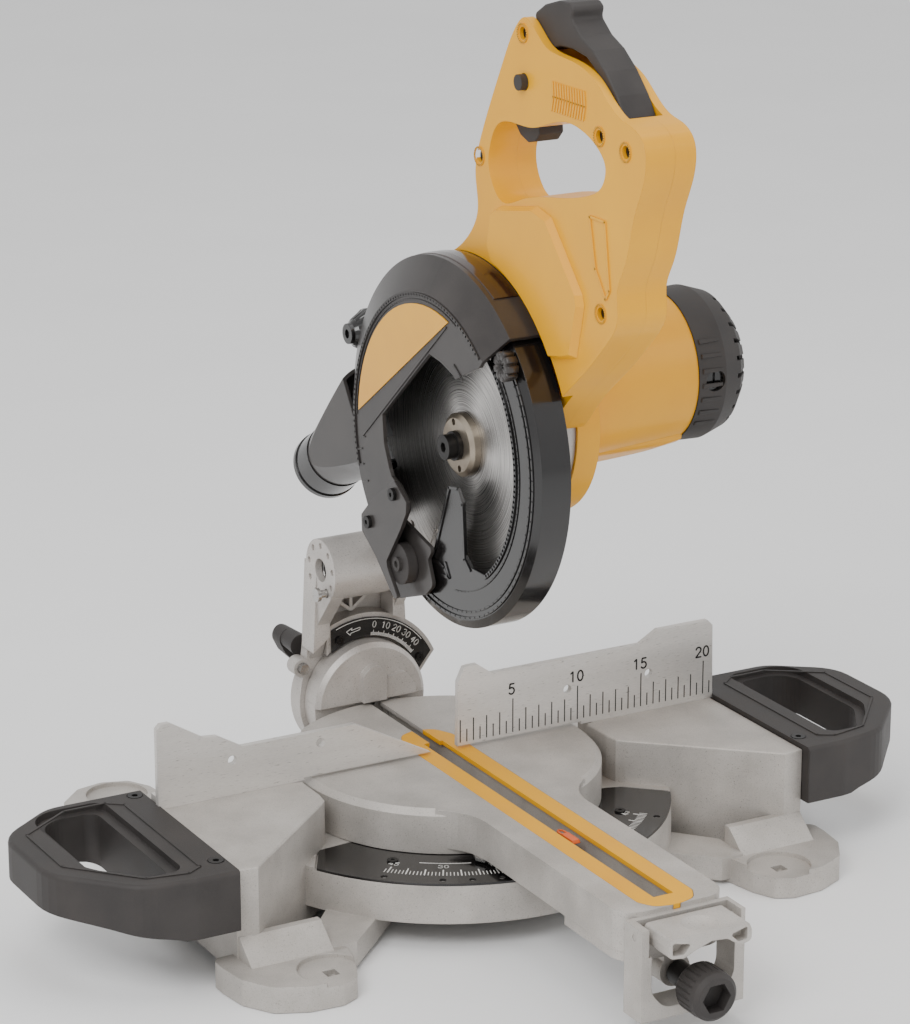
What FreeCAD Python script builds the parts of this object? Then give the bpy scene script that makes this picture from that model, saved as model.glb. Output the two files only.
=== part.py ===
import FreeCAD, Part
import math
import os

# Sliding mitre saw, 216 mm blade.
# Drawn in the machine frame: x to the right along the fence, y to the rear,
# z up from the table surface; the origin is where the kerf plane, the fence
# face and the table meet, which is the mitre axis.  Every piece is moved by
# SHIFT when it is written, so the part's own origin is the centre of the four
# bench holes at bench level.

V = FreeCAD.Vector
SHIFT = V(0, -10, 75)

# ---------------------------------------------------------------- dimensions
BENCH_Z = -75.0            # bench surface under the feet
PAD_TOP = -58.0            # top of a foot pad
HOLE_X, HOLE_YF, HOLE_YR = 163.5, -150.0, 170.0
HOLE_R = 4.25
TABLE_HALF = 207.0         # half width of the fixed tables
FENCE_T = 4.0
DISC_R, DISC_TOP_R = 102.0, 98.0
CRESCENT_R = 108.0         # rear part of the turntable, behind the fence
ARM_HALF = 37.0
ARM_FRONT = -281.0
DISC_BOTTOM = -29.6        # underside of the disc, 0.4 above the ring
ARM_BOTTOM = -26.0
ARM_TOE = -32.0            # the front of the arm is deeper
BLADE_R, BLADE_T, BLADE_BORE = 108.0, 1.8, 15.0
AY, AZ = -26.0, 218.0      # arbor
PY, PZ = 106.0, 101.0      # chop pivot
MY, MZ = -30.0, 252.0      # motor axis
RAIL_X, RAIL_Z, RAIL_R = 22.0, -17.5, 7.0
RING_TOP, RING_LOW = -30.0, -57.0
ROD_Z = -43.0              # axis of the mitre lock
RUN = 0.05                 # running clearance, radial
GAP = 0.3                  # clearance between bodies
PARTING_X = 24.8           # joint between the handle shells

os.makedirs("parts", exist_ok=True)


# ------------------------------------------------------------------- helpers
def box(x0, x1, y0, y1, z0, z1):
    return Part.makeBox(x1 - x0, y1 - y0, z1 - z0, V(x0, y0, z0))


def cx(x0, x1, r, y=0.0, z=0.0):
    return Part.makeCylinder(r, x1 - x0, V(x0, y, z), V(1, 0, 0))


def cy(y0, y1, r, x=0.0, z=0.0):
    return Part.makeCylinder(r, y1 - y0, V(x, y0, z), V(0, 1, 0))


def cz(z0, z1, r, x=0.0, y=0.0):
    return Part.makeCylinder(r, z1 - z0, V(x, y, z0), V(0, 0, 1))


def cone_z(z0, z1, r0, r1, x=0.0, y=0.0):
    return Part.makeCone(r0, r1, z1 - z0, V(x, y, z0), V(0, 0, 1))


def cone_x(x0, x1, r0, r1, y=0.0, z=0.0):
    return Part.makeCone(r0, r1, x1 - x0, V(x0, y, z), V(1, 0, 0))


def cone_y(y0, y1, r0, r1, x=0.0, z=0.0):
    return Part.makeCone(r0, r1, y1 - y0, V(x, y0, z), V(0, 1, 0))


def place(plane, a, b, c):
    if plane == "xy":
        return V(a, b, c)
    if plane == "xz":
        return V(a, c, b)
    return V(c, a, b)


NORMAL = {"xy": V(0, 0, 1), "xz": V(0, 1, 0), "yz": V(1, 0, 0)}


def poly_wire(plane, pts, c):
    p = [place(plane, a, b, c) for a, b in pts]
    return Part.makePolygon(p + [p[0]])


def smooth_wire(plane, pts, c):
    curve = Part.BSplineCurve()
    curve.interpolate([place(plane, a, b, c) for a, b in pts], PeriodicFlag=True)
    return Part.Wire([curve.toShape()])


def rounded(pts, radii):
    """Corner points replaced by short arcs: a list of points."""
    out = []
    n = len(pts)
    for i, (x, y) in enumerate(pts):
        r = radii[i] if isinstance(radii, (list, tuple)) else radii
        if not r:
            out.append((x, y))
            continue
        ax, ay = pts[i - 1]
        bx, by = pts[(i + 1) % n]
        ux, uy = ax - x, ay - y
        vx, vy = bx - x, by - y
        lu, lv = math.hypot(ux, uy), math.hypot(vx, vy)
        ux, uy, vx, vy = ux / lu, uy / lu, vx / lv, vy / lv
        cosang = max(-0.999999, min(0.999999, ux * vx + uy * vy))
        half = math.acos(cosang) / 2
        t = min(r / math.tan(half), 0.49 * lu, 0.49 * lv)
        rr = t * math.tan(half)
        hx, hy = ux + vx, uy + vy
        lh = math.hypot(hx, hy) or 1.0
        cxx = x + hx / lh * rr / math.sin(half)
        cyy = y + hy / lh * rr / math.sin(half)
        a0 = math.atan2(y + uy * t - cyy, x + ux * t - cxx)
        a1 = math.atan2(y + vy * t - cyy, x + vx * t - cxx)
        d = (a1 - a0 + math.pi) % (2 * math.pi) - math.pi
        steps = max(3, int(abs(d) / math.radians(11)) + 1)
        for k in range(steps + 1):
            a = a0 + d * k / steps
            out.append((cxx + rr * math.cos(a), cyy + rr * math.sin(a)))
    return out


def prism(plane, pts, c0, c1, radii=None, smooth=False):
    if radii is not None:
        pts = rounded(pts, radii)
    wire = (smooth_wire if smooth else poly_wire)(plane, pts, c0)
    return Part.Face(wire).extrude(NORMAL[plane] * (c1 - c0))


def fuse(*shapes):
    s = shapes[0]
    if len(shapes) > 1:
        s = s.fuse(list(shapes[1:]))
    return s.removeSplitter()


def cut(s, *tools):
    return s.cut(list(tools))


def one(s):
    """The largest solid of a result."""
    return max(s.Solids, key=lambda q: q.Volume)


def soften(s, r, pick):
    """Fillet the chosen edges together, or one by one where that fails."""
    edges = [e for e in s.Edges if pick(e)]
    if not edges:
        return s
    for rr in (r, r * 0.6):
        try:
            t = s.makeFillet(rr, edges)
            if t.isValid() and t.Volume > 0:
                return t
        except Exception:
            pass
    return s


def bevel(s, r, pick):
    edges = [e for e in s.Edges if pick(e)]
    if not edges:
        return s
    for rr in (r, r * 0.6):
        try:
            t = s.makeChamfer(rr, edges)
            if t.isValid() and t.Volume > 0:
                return t
        except Exception:
            pass
    return s


def at_plane(axis, value, tol=0.02):
    def pick(e):
        b = e.BoundBox
        lo = (b.XMin, b.YMin, b.ZMin)[axis]
        hi = (b.XMax, b.YMax, b.ZMax)[axis]
        return abs(lo - value) < tol and abs(hi - value) < tol
    return pick


def sector(plane, r, a0, a1, c0, c1, ca=0.0, cb=0.0, n=36):
    """Pie-shaped prism: angles in degrees from the plane's first axis."""
    pts = [(ca, cb)]
    for k in range(n + 1):
        a = math.radians(a0 + (a1 - a0) * k / n)
        pts.append((ca + r * math.cos(a), cb + r * math.sin(a)))
    return prism(plane, pts, c0, c1)


def mirror_x(s):
    return s.mirror(V(0, 0, 0), V(1, 0, 0))


def turn_profile(pts, axis_point, axis_dir):
    """Closed profile of (along, radius) revolved about an axis along X or Y."""
    p = []
    for a, r in pts:
        if axis_dir == "x":
            p.append(V(a, axis_point[1], axis_point[2] + r))
        elif axis_dir == "y":
            p.append(V(axis_point[0], a, axis_point[2] + r))
        else:
            p.append(V(axis_point[0] + r, axis_point[1], a))
    face = Part.Face(Part.makePolygon(p + [p[0]]))
    d = {"x": V(1, 0, 0), "y": V(0, 1, 0), "z": V(0, 0, 1)}[axis_dir]
    return face.revolve(V(*axis_point), d, 360)


def hexagon(plane, across_flats, c0, c1, a=0.0, b=0.0, turn=0.0):
    r = across_flats / 2 / math.cos(math.pi / 6)
    pts = [(a + r * math.cos(math.radians(60 * k + turn)),
            b + r * math.sin(math.radians(60 * k + turn))) for k in range(6)]
    return prism(plane, pts, c0, c1)


def screw(axis, pos, head_r, head_h, shank_r, length, hex_af):
    """Socket-head screw.  pos is the middle of the head's outer face and the
    shank runs along axis from there."""
    d = V(*axis)
    p = V(*pos)
    head = Part.makeCylinder(head_r, head_h, p, d)
    shank = Part.makeCylinder(shank_r, length - head_h, p + d * head_h, d)
    socket = Part.makeCylinder(hex_af / 2, head_h * 0.55, p, d)
    return head.fuse([shank]).cut(socket).removeSplitter()


NODES = {}


def put(name, *shapes):
    for s in shapes:
        assert s.isValid() and s.Volume > 0, name
    NODES[name] = list(shapes)


def both(s):
    return s, mirror_x(s)


# ------------------------------------------------------------- base casting
WING = [(107, 0.9), (107, -22), (108, -35), (192.6, -111.5), (207, -111.5), (207, 16)]


def wing_outline(inner_r=111.3):
    """Plan of the right-hand fixed table."""
    pts = [(207, -110), (207, 16)]
    a1 = math.asin(16 / inner_r)
    for k in range(5):
        a = a1 * (1 - k / 4)
        pts.append((inner_r * math.cos(a), inner_r * math.sin(a)))
    pts += [(107.0, -0.6), (107.0, -26), (108.6, -35.5), (113, -40.5), (192.6, -111.5)]
    return pts


def foot(xc, yc, front):
    s = 1 if front else -1
    pts = [(130, -103), (141, -128), (145, -148), (152, -163), (164, -168.5),
           (186, -167), (206, -158), (218, -139), (221, -118), (221, -103)]
    if not front:
        pts = [(134, 16), (128, 60), (132, 120), (138, 172), (147, 188), (165, 194),
               (184, 190), (202, 172), (207, 120), (207, 60), (207, 16)]
    return prism("xy", pts, BENCH_Z, PAD_TOP, radii=6)


wing = prism("xy", wing_outline(), -70, 0)
inner = prism("xy", [(202, -105), (202, 11), (116, 11), (113, -34), (115, -38), (192, -106)], -71, -5)
wing = cut(wing, inner)
wing = soften(wing, 1.2, at_plane(2, 0.0))
# inner ribs under the table
ribs = [box(116, 203, -40, -36, -66, -4), box(160, 164, -80, 12, -66, -4)]
rib_keep = prism("xy", [(203, -107), (203, 12), (114, 12), (112, -36), (192, -107)], -70, -1)
ribs = [r.common(rib_keep) for r in ribs]
# flared skirt from the table walls down to the feet
skirt = prism("yz", [(-104, -52), (-112, -52), (-132, -64), (-140, PAD_TOP), (-140, -70), (-104, -70)], 136, 207)
front_foot = fuse(foot(HOLE_X, HOLE_YF, True))
rear_foot = fuse(foot(HOLE_X, HOLE_YR, False))
side = fuse(wing, ribs[0], ribs[1])
side = fuse(side, front_foot)
side = fuse(side, rear_foot)
# sloping fillet between wall and front foot
wedge = prism("yz", [(-106, -44), (-111, -44), (-128, PAD_TOP), (-128, -66), (-106, -66)], 150, 206)
side = fuse(side, wedge)
# lug that carries the carrying handle
lugs = [box(206, 221.5, 16.5, 29.5, -20, -8), box(206, 221.5, -102.5, -89.5, -20, -8)]
lugs[0] = fuse(lugs[0], box(202, 207, 12, 29.5, -30, -8))
side = fuse(side, lugs[0])
side = fuse(side, lugs[1])
side = side.cut([cz(-25, -2, 2.5, 214, 23), cz(-25, -2, 2.5, 213.5, -96)])
# foot holes: round below, square recess on top, raised rim round the pad
for yy in (HOLE_YF, HOLE_YR):
    side = side.cut([cz(BENCH_Z - 1, PAD_TOP + 1, HOLE_R, HOLE_X, yy)])
    ring = cz(PAD_TOP - 3.0, PAD_TOP + 5, 21, HOLE_X, yy)
    side = side.cut([ring.common(box(HOLE_X - 30, HOLE_X + 30, yy - 40, yy + 40, PAD_TOP - 3.0, PAD_TOP + 5))])
    side = side.cut([box(HOLE_X - 4.25, HOLE_X + 4.25, yy - 4.25, yy + 4.25, PAD_TOP - 6.5, PAD_TOP + 1)])
left_side = mirror_x(side)

# central ring that the turntable sits on
well = turn_profile([(RING_LOW, 120), (RING_TOP, 117.5), (RING_TOP, 97), (-47.6, 97), (-47.6, 52), (-46, 52),
                     (-46, 6.1), (-64, 6.1), (-64, 17), (-52, 17), (-52, 101), (-36, 101), (-36, 113.5),
                     (RING_LOW, 116)], (0, 0, 0), "z")
# the front of the ring is wider and carries the mitre scale
apron = turn_profile([(RING_LOW, 148.5), (RING_TOP, 148.0), (RING_TOP, 110), (-36, 110), (-36, 144.0),
                      (RING_LOW, 144.5)], (0, 0, 0), "z").common(box(-160, 160, -160, -8, -80, 0))
PLATE = [(0, -30), (97, -42), (107, -45.5), (128, -64.5), (133.5, -72), (170, -170), (-170, -170), (-133.5, -72),
         (-117, -43.5), (-97, -42)]
step = turn_profile([(RING_TOP - 1.6, 95), (RING_TOP - 1.6, 155), (RING_TOP + 2, 155), (RING_TOP + 2, 95)], (0, 0, 0), "z")
step = step.common(prism("xy", [(a * 1.008, b + 0.9) for a, b in PLATE], -50, -20))
spokes = []
for ang in (20, 160, -30, -150, 90, -90):
    b = box(12, 114, -2, 2, -66, -50)
    b.rotate(V(0, 0, 0), V(0, 0, 1), ang)
    spokes.append(b)
well = fuse(well, *spokes)
well = fuse(well, apron).cut([step])
# cross members between the ring and the side castings, kept low at the rear
tie = prism("xy", [(96, -30), (118, -30), (118, 14), (96, 14)], -69, -52)
rear_tie = prism("xy", [(60, 98), (100, 62), (150, 100), (150, 150), (128, 150)], -72, -56)
front_tie = prism("xy", [(86, -82), (107, -50), (150, -100), (150, -128), (134, -128)], -72, -56)
base = fuse(well, tie, mirror_x(tie), rear_tie, mirror_x(rear_tie), front_tie, mirror_x(front_tie))
base = fuse(base, side)
base = fuse(base, left_side)
base = base.cut([cz(-80, -40, 6.1)])
# threaded holes for the fence bolts and the scale screws
FENCE_BOLTS = [(143.0, 10.0), (178.0, 10.0)]
for bx, by in FENCE_BOLTS:
    for s in (1, -1):
        base = base.cut([cz(-5.5, 1, 2.5, s * bx, by)])
SCALE_SCREWS = [(-67.6, -80.5), (67.6, -80.5)]
SCALE_SCREWS = [(117.0 * math.cos(math.radians(a)), 117.0 * math.sin(math.radians(a))) for a in (-136, -44)]
for sx, sy in SCALE_SCREWS:
    base = base.cut([cz(-37, -29, 1.6, sx, sy)])
base = one(base.removeSplitter())
put("base_casting", base)

scale = turn_profile([(RING_TOP - 1.5, 97.5), (RING_TOP - 1.5, 148.0), (RING_TOP, 148.0), (RING_TOP, 97.5)], (0, 0, 0), "z")
scale = scale.common(prism("xy", PLATE, -50, -20))
notches = []
for a in (-45, -30, -22.5, -15, 0, 15, 22.5, 30, 45):
    r = math.radians(a - 90)
    notches.append(cz(-33, -28, 2.2, 142.0 * math.cos(r), 142.0 * math.sin(r)))
scale = scale.cut(notches + [cz(-33, -28, 1.75, sx, sy) for sx, sy in SCALE_SCREWS])
put("mitre_scale_plate", one(scale))
put("scale_screws", *[screw((0, 0, -1), (sx, sy, RING_TOP + 1.1), 3.6, 1.1, 1.6, 6.5, 2.5) for sx, sy in SCALE_SCREWS])


# ------------------------------------------------------------------- fences
def fence(pts, foot_x0, foot_x1, holes, bolts, sign):
    f = prism("xz", pts, 0, FENCE_T)
    f = fuse(f, box(foot_x0, foot_x1, FENCE_T - 0.5, 15.5, 0, 6))
    for gx in (foot_x0 + 8, foot_x1 - 14, (foot_x0 + foot_x1) / 2):
        g = prism("yz", [(3.5, 5.5), (15.0, 5.5), (3.5, 27)], gx, gx + 4)
        f = fuse(f, g)
    f = f.cut([cy(-1, 6, 3.0, hx, hz) for hx, hz in holes])
    f = f.cut([cz(-1, 8, 3.1, bx, 10.0) for bx in bolts])
    return one(f)


FR = [(8, 2), (8.5, 47), (13, 56.5), (16, 57), (23, 57), (34, 49), (149, 49), (163, 57), (203, 57), (207, 53),
      (208, 0), (103, 0), (103, 2)]
FL = [(-12, 2), (-68, 32), (-149, 32), (-166, 42), (-176, 43), (-199, 57), (-205, 57), (-208, 54), (-208, 0),
      (-105, 0), (-105, 2)]
put("fence_right", fence(FR, 116, 206, [(92, 27), (156, 27)], [143, 178], 1))
put("fence_left", fence(FL, -206, -116, [(-93, 24), (-156, 24)], [-143, -178], -1))
put("fence_bolts", *[screw((0, 0, -1), (s * bx, 10.0, 9.5), 4.4, 3.5, 2.5, 14.0, 4.0)
                     for bx in (143, 178) for s in (1, -1)])

# ----------------------------------------------------------------- handles
HAND_OUT = [(207.4, 32), (272, 32), (313, 2), (313, -66), (270, -112), (236, -118), (207.4, -118)]
hand = prism("xy", HAND_OUT, -36, 3, radii=[1, 26, 30, 34, 30, 20, 1])
slope = prism("xz", [(240, -37), (250, -34), (285, -27), (316, -22), (316, -37)], -125, 40)
hand = hand.cut([slope])
slot = prism("xy", [(243, 20), (283, 20), (283, -62), (262, -95), (243, -95)], -40, 5, radii=[8, 18, 18, 16, 8])
hand = hand.cut([slot])
well_top = prism("xy", [(236, 25), (288, 25), (288, -66), (266, -100), (236, -100)], -1.5, 5,
                 radii=[9, 20, 20, 18, 9])
hand = hand.cut([well_top])
hand = soften(hand, 3.0, lambda e: at_plane(2, 3.0)(e) and e.BoundBox.XMax > 209 and not (
    e.BoundBox.XMin > 235.5 and e.BoundBox.XMax < 288.5 and e.BoundBox.YMin > -100.5 and e.BoundBox.YMax < 25.5))
hand = hand.cut([box(207, 208.4, -1, 4.4, -1, 4), box(207, 221.8, 16.2, 29.8, -40, -7.7), box(207, 221.8, -102.8, -89.2, -40, -7.7),
                 box(207, 209, 12, 30, -40, -7.7)])
# hollow underside of the inner end
hand = hand.cut([prism("xy", [(211, 13), (232, 13), (232, -86), (211, -86)], -40, -6, radii=3)])
for hx, hy in ((214, 23), (213.5, -96)):
    hand = hand.cut([cz(-12, 5, 2.75, hx, hy), cz(0.5, 5, 5.2, hx, hy)])
hand = one(hand)
put("handle_right", hand)
put("handle_left", mirror_x(hand))
hs = [screw((0, 0, -1), (hx, hy, 3.2), 4.8, 2.6, 2.5, 22.0, 4.0) for hx, hy in ((214, 23), (213.5, -96))]
put("handle_screws", *(hs + [mirror_x(s) for s in hs]))

# ---------------------------------------------------------------- turntable
disc = turn_profile([(DISC_BOTTOM, 0), (DISC_BOTTOM, DISC_R), (-4, DISC_R), (0, DISC_TOP_R), (0, 0)],
                    (0, 0, 0), "z")
disc_in = turn_profile([(-32, 0.0), (-32, 96), (-7, 96), (-7, 0.0)], (0, 0, 0), "z")
cres = turn_profile([(DISC_BOTTOM, 70), (DISC_BOTTOM, CRESCENT_R), (-5, CRESCENT_R), (0, CRESCENT_R - 3),
                     (0, 70)], (0, 0, 0), "z").common(sector("xy", 160, 51.5, 128.5, -60, 10))
cres_in = turn_profile([(-48, 60), (-48, CRESCENT_R - 6), (-7, CRESCENT_R - 6), (-7, 60)], (0, 0, 0), "z").common(
    sector("xy", 160, 56, 124, -60, 10))
arm = prism("xy", [(-37, -60), (37, -60), (37, ARM_FRONT), (-37, ARM_FRONT)], ARM_BOTTOM, 0, radii=[0, 0, 15, 15])
# curved shoulders where the arm leaves the disc
sh = []
for s in (1, -1):
    pts = [(s * 30, -80)]
    c_x, c_y, r = s * 77.0, -118.1, 40.0
    for k in range(9):
        a = math.radians(180 - 57 * k / 8) if s > 0 else math.radians(57 * k / 8)
        pts.append((c_x + r * math.cos(a), c_y + r * math.sin(a)))
    sh.append(prism("xy", pts + [(s * 48, -76)], ARM_BOTTOM, 0.0))
toe = prism("xy", [(-36.6, -213), (36.6, -213), (36.6, ARM_FRONT), (-36.6, ARM_FRONT)], ARM_TOE, -20, radii=[0, 0, 15, 15])
arm_in = prism("xy", [(-32.3, -40), (32.3, -40), (32.3, ARM_FRONT + 6), (-32.3, ARM_FRONT + 6)], -50, -7,
               radii=[0, 0, 8, 8])
tt = fuse(disc, cres)
tt = fuse(tt, arm)
tt = fuse(tt, toe)
tt = fuse(tt, sh[0], sh[1])
tt = tt.cut([disc_in, cres_in, arm_in])
tt = one(tt)
# bearing blocks for the slide rails, pivot boss and the chip trough
blocks = [box(-33, 33, 64, 94, -28.8, -6.5), box(-33, 33, -94, -64, -28.8, -6.5),
          cz(-45.6, -6.5, 13.5), box(-12.0, 12.0, -272, 98, -21, -6)]
webs = [box(-98, -30, 67, 71, -28, -6.6), box(30, 98, 67, 71, -28, -6.6), box(-98, -12.5, -2, 2, -20, -6.6),
        box(12.5, 98, -2, 2, -20, -6.6)]
keep = cz(-60, 10, 99)
webs[2], webs[3] = box(-98, -31, -2, 2, -28, -6.6), box(31, 98, -2, 2, -28, -6.6)
for piece in blocks + [w.common(keep) for w in webs]:
    tt = tt.fuse(piece)
    assert tt.isValid() and len(tt.Solids) >= 1
assert tt.Volume > 450000
# front bracket below the end of the arm
frame_ = box(-36, 36, -300, -280.5, -62, -3).cut(
    prism("xz", [(-29, -7), (-29, -44), (-20, -55), (20, -55), (29, -44), (29, -7)], -310, -275, radii=[3, 12, 12, 12, 12, 3]))
frame_ = frame_.cut([box(-31, 33, -301, -284.6, -20.5, 2)])
tt = fuse(tt, frame_)
# front wall carries the nut of the mitre lock
tt = tt.fuse([box(-8, 8, -280.2, -262.6, ROD_Z, -24).fuse([cy(-280.2, -262.6, 10.5, 0, ROD_Z)])])
# recess for the insert, slot, groove behind the slot for the blade
INS = [(-19.6, -268), (-14, -278), (0, -282), (14, -278), (19.6, -268), (19.6, 26), (13, 40), (0, 45), (-13, 40), (-19.6, 26)]
INS_R = [8, 10, 20, 10, 8, 14, 10, 16, 10, 14]
tt = tt.cut([prism("xy", INS, -3.1, 1, radii=INS_R)])
tt = tt.cut([box(-9, 9, -267, 118, -17, -3.0)])
tt = tt.cut([box(-2.6, 5.2, 36, 118, -17, 1)])
tt = tt.cut([box(-9, 9, -267, 36, -8, 0.5)])
tt = tt.cut([cy(60, 98, 9.0, s * RAIL_X, RAIL_Z) for s in (1, -1)])
tt = tt.cut([cy(-98, -60, 9.0, s * RAIL_X, RAIL_Z) for s in (1, -1)])
tt = tt.cut([cy(96, 112, 7.6, s * RAIL_X, RAIL_Z) for s in (1, -1)])
tt = tt.cut([cz(-60, -25, 6.0)])
tt = tt.cut([cy(-300, -255, 4.0 + RUN, 0, ROD_Z)])
tt = tt.cut([cx(-40, 40, 2.0 + RUN, -291, -10)])
tt = one(tt)
tt = bevel(tt, 2.2, lambda e: at_plane(2, 0.0)(e) and e.BoundBox.YMax < -110 and (
    e.BoundBox.XMax > 20 or e.BoundBox.XMin < -20 or e.BoundBox.YMax < -279))
assert one(tt).Volume > 400000 and one(tt).Volume > 0.98 * tt.Volume
put("turntable", one(tt))

ins = prism("xy", INS, -3.0, 0.0, radii=INS_R)
ins = ins.cut([prism("xy", INS, -4, 1, radii=INS_R).cut(prism("xy", [(a * 0.988, b * 0.999) for a, b in INS], -5, 2, radii=INS_R))])
ins = ins.cut([box(-7, 7, -266, 19, -5, 2), box(-2.6, 5.2, 18, 50, -5, 2)])
put("kerf_insert", one(ins))
put("pivot_bolt", fuse(hexagon("xy", 17, -74.0, -67.5), cz(-67.5, -65.6, 11.0), cz(-66, -46.5, 6.05), cz(-46.6, -25, 5.98)))
bush = []
for s in (1, -1):
    for y0 in (64.0, -94.0):
        bush.append(cy(y0, y0 + 30, 8.98, s * RAIL_X, RAIL_Z).cut(cy(y0 - 1, y0 + 31, RAIL_R + RUN, s * RAIL_X, RAIL_Z)))
put("rail_bushes", *bush)
put("mitre_pointer", prism("xy", [(-33.5, -104), (-33.5, -116), (-37, -116), (-40.2, -109.5), (-38.5, -104)], -28.2, ARM_BOTTOM - 0.05))

# mitre lock: rod, clamp pad and knob turn together
rod = fuse(cy(-300, -152, 4.0, 0, ROD_Z), cy(-153, -148.9, 7.0, 0, ROD_Z), cone_y(-283, -281.5, 7.9, 4.0, 0, ROD_Z),
           cy(-312, -283, 7.9, 0, ROD_Z))
put("mitre_lock_rod", rod)
knob = turn_profile([(-326, 0), (-326, 12.6), (-323.5, 15.2), (-318, 15.8), (-306, 15.8), (-303.5, 14.4),
                     (-302.5, 11.0), (-302.5, 0)], (0, 0, ROD_Z), "y")
grooves = []
for k in range(24):
    a = math.radians(15 * k)
    grooves.append(cy(-320, -304, 0.8, 16.0 * math.cos(a), ROD_Z + 16.0 * math.sin(a)))
knob = knob.cut(grooves)
knob = knob.cut([hexagon("xz", 17, -327, -317, 0, ROD_Z), cy(-312, -280, 7.9, 0, ROD_Z)])
put("mitre_lock_knob", one(knob))

# detent latch, a rocking cast lever over the knob
lat = prism("xz", [(-26, -4), (28, -4), (30, -9), (30, -16), (22, -17.5), (13, -11.5), (2, -10.5), (-9, -14), (-17, -17.5), (-27, -16), (-28, -9)],
            -316, -287.6, radii=[3, 3, 2, 3, 3, 4, 4, 4, 3, 3, 2])
lat = lat.cut([prism("xz", [(-25, -6.5), (-25, -14.5), (-17, -15.0), (-12, -9.5)], -317, -309, radii=1.2),
               prism("xz", [(27, -6.5), (27, -14.5), (21, -15.0), (15, -9.5)], -317, -309, radii=1.2),
               ])
lat = fuse(lat, cx(-35.5, 35.5, 2.0, -291, -10))
dish = Part.makeSphere(26, V(2, -303, 19.5))
lat = lat.cut([dish])
put("detent_latch", one(lat))

# ------------------------------------------------------------------ slide
rails = [cy(-250, 124, RAIL_R, s * RAIL_X, RAIL_Z) for s in (1, -1)]
put("slide_rails", *rails)
TY0 = 109.0
low = prism("xz", [(-42, 4), (-40, -14), (-34, -21), (-34, -28.5), (34, -28.5), (34, -21), (40, -14), (42, 4)], TY0, 124.7, radii=[0, 4, 3, 3, 3, 3, 4, 0])
cap = fuse(cy(TY0, 124.7, 42.0).common(box(-60, 60, 90, 130, -28.5, 60)), cone_y(106.0, TY0, 39.0, 42.0).common(box(-60, 60, 90, 130, 1.0, 60)))
hub_bump = prism("xz", [(-9, 2), (-9, 22), (0, 30), (9, 22), (9, 2)], 100.5, 112, radii=[0, 6, 8, 6, 0])
web1 = prism("xz", [(9, 2), (9, 16), (24, 20), (33, 8), (33, 2)], 103, 112, radii=[0, 4, 6, 4, 0])
tr = fuse(low, cap)
tr = fuse(tr, hub_bump)
tr = fuse(tr, web1)
tr = fuse(tr, cy(124.6, 155, 14.0))
tr = tr.cut([cy(100, 124.0, RAIL_R, s * RAIL_X, RAIL_Z) for s in (1, -1)])
tr = tr.cut([cy(104, 180, 5.0)])
tr = tr.cut([cz(-30, -23, 2.5, s * RAIL_X, 117) for s in (1, -1)])
tr = one(tr)
tr = soften(tr, 2.5, at_plane(1, 106.0))
put("trunnion", one(tr))

# --------------------------------------------------------------- bevel arm
YA0, YA1 = 125.0, 139.0
ring = fuse(cy(YA0, YA1, 45.5), cy(125, 136, 6.5, -43, 26))
web = prism("xz", [(-45.3, 0), (-44, 14), (-40, 32), (-37, 58), (-36, PZ), (28, PZ), (30, 70), (33, 40), (42, 22), (45.3, 0)],
            YA0, 134, radii=[0, 8, 10, 10, 0, 0, 8, 10, 8, 0])
ba = fuse(ring, web)
pocket = prism("xz", [(-29, 46), (-30, 82), (20, 80), (23, 48), (12, 56), (-10, 58)], 120, 131, radii=2)
ba = ba.cut([pocket])
# uprights reach forward to the pivot boss
left_up = prism("xz", [(-41, 40), (-40, 62), (-38, PZ), (-28, PZ), (-28.5, 50)], 112, 130)
left_up2 = prism("yz", [(126, 30), (112, 60), (92, 84), (90, PZ), (124, PZ)], -38, -28)
right_up = prism("xz", [(20, 46), (20, PZ), (28, PZ), (28, 86), (30, 46)], 112, 130)
right_up2 = prism("yz", [(126, 39), (115, 60), (98, 84), (96, PZ), (124, PZ)], 21, 28)
boss_l = cx(-38, 7.7, 21.5, PY, PZ)
boss_r = cx(20.3, 28, 20.0, PY, PZ)
roof = box(-36, 28, 122.5, 134, 84, 101)
ba = fuse(ba, left_up, left_up2, right_up, right_up2)
ba = fuse(ba, boss_l, boss_r)
# ribs between the uprights
hubc = (-6.0, 62.0)
ribs_ = [cy(122.0, 132, 3.2, -26, 78), cy(122.0, 132, 3.2, -6, 79), cy(122.0, 132, 3.2, 14, 78)]
for tx, tz in ((-26, 78), (-6, 79), (14, 78)):
    dx, dz = tx - hubc[0], tz - hubc[1]
    L = math.hypot(dx, dz)
    nx, nz = -dz / L * 1.2, dx / L * 1.2
    ribs_.append(prism("xz", [(hubc[0] + nx, hubc[1] + nz), (hubc[0] - nx, hubc[1] - nz), (tx - nx, tz - nz), (tx + nx, tz + nz)], 124, 132))
ba = fuse(ba, *ribs_)
# the slot that the head's lug swings in, between the boss and the right ear
ba = ba.cut([cx(8.0 - GAP, 20.0 + GAP, 30.0, PY, PZ).common(box(7.7, 20.3, 60, 130, 60, 140))])
ba = ba.cut([cy(120, 160, 14.0 + RUN)])
ba = ba.cut([cx(-33.0, 5.0, 15.0, PY, PZ)])
ba = ba.cut([cx(-45, 40, 8.0, PY, PZ)])
ba = ba.cut([cx(-39, 9, 3.1 + RUN, 98, 87)])
# face pockets of the boss: hexagon and a ring of small recesses
for k in range(9):
    a = math.radians(40 * k + 10)
    if abs(40 * k + 10 - 250) < 25:
        continue
    ba = ba.cut([cx(-39, -36.2, 2.1, PY + 17.0 * math.cos(a), PZ + 17.0 * math.sin(a))])
ba = ba.cut([cy(110, 124.4, 6.0, -43, 26), cy(120, 128, 4.0, -43, 26), cy(YA1 - 6, YA1 + 1, 5, -30, -25)])
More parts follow.
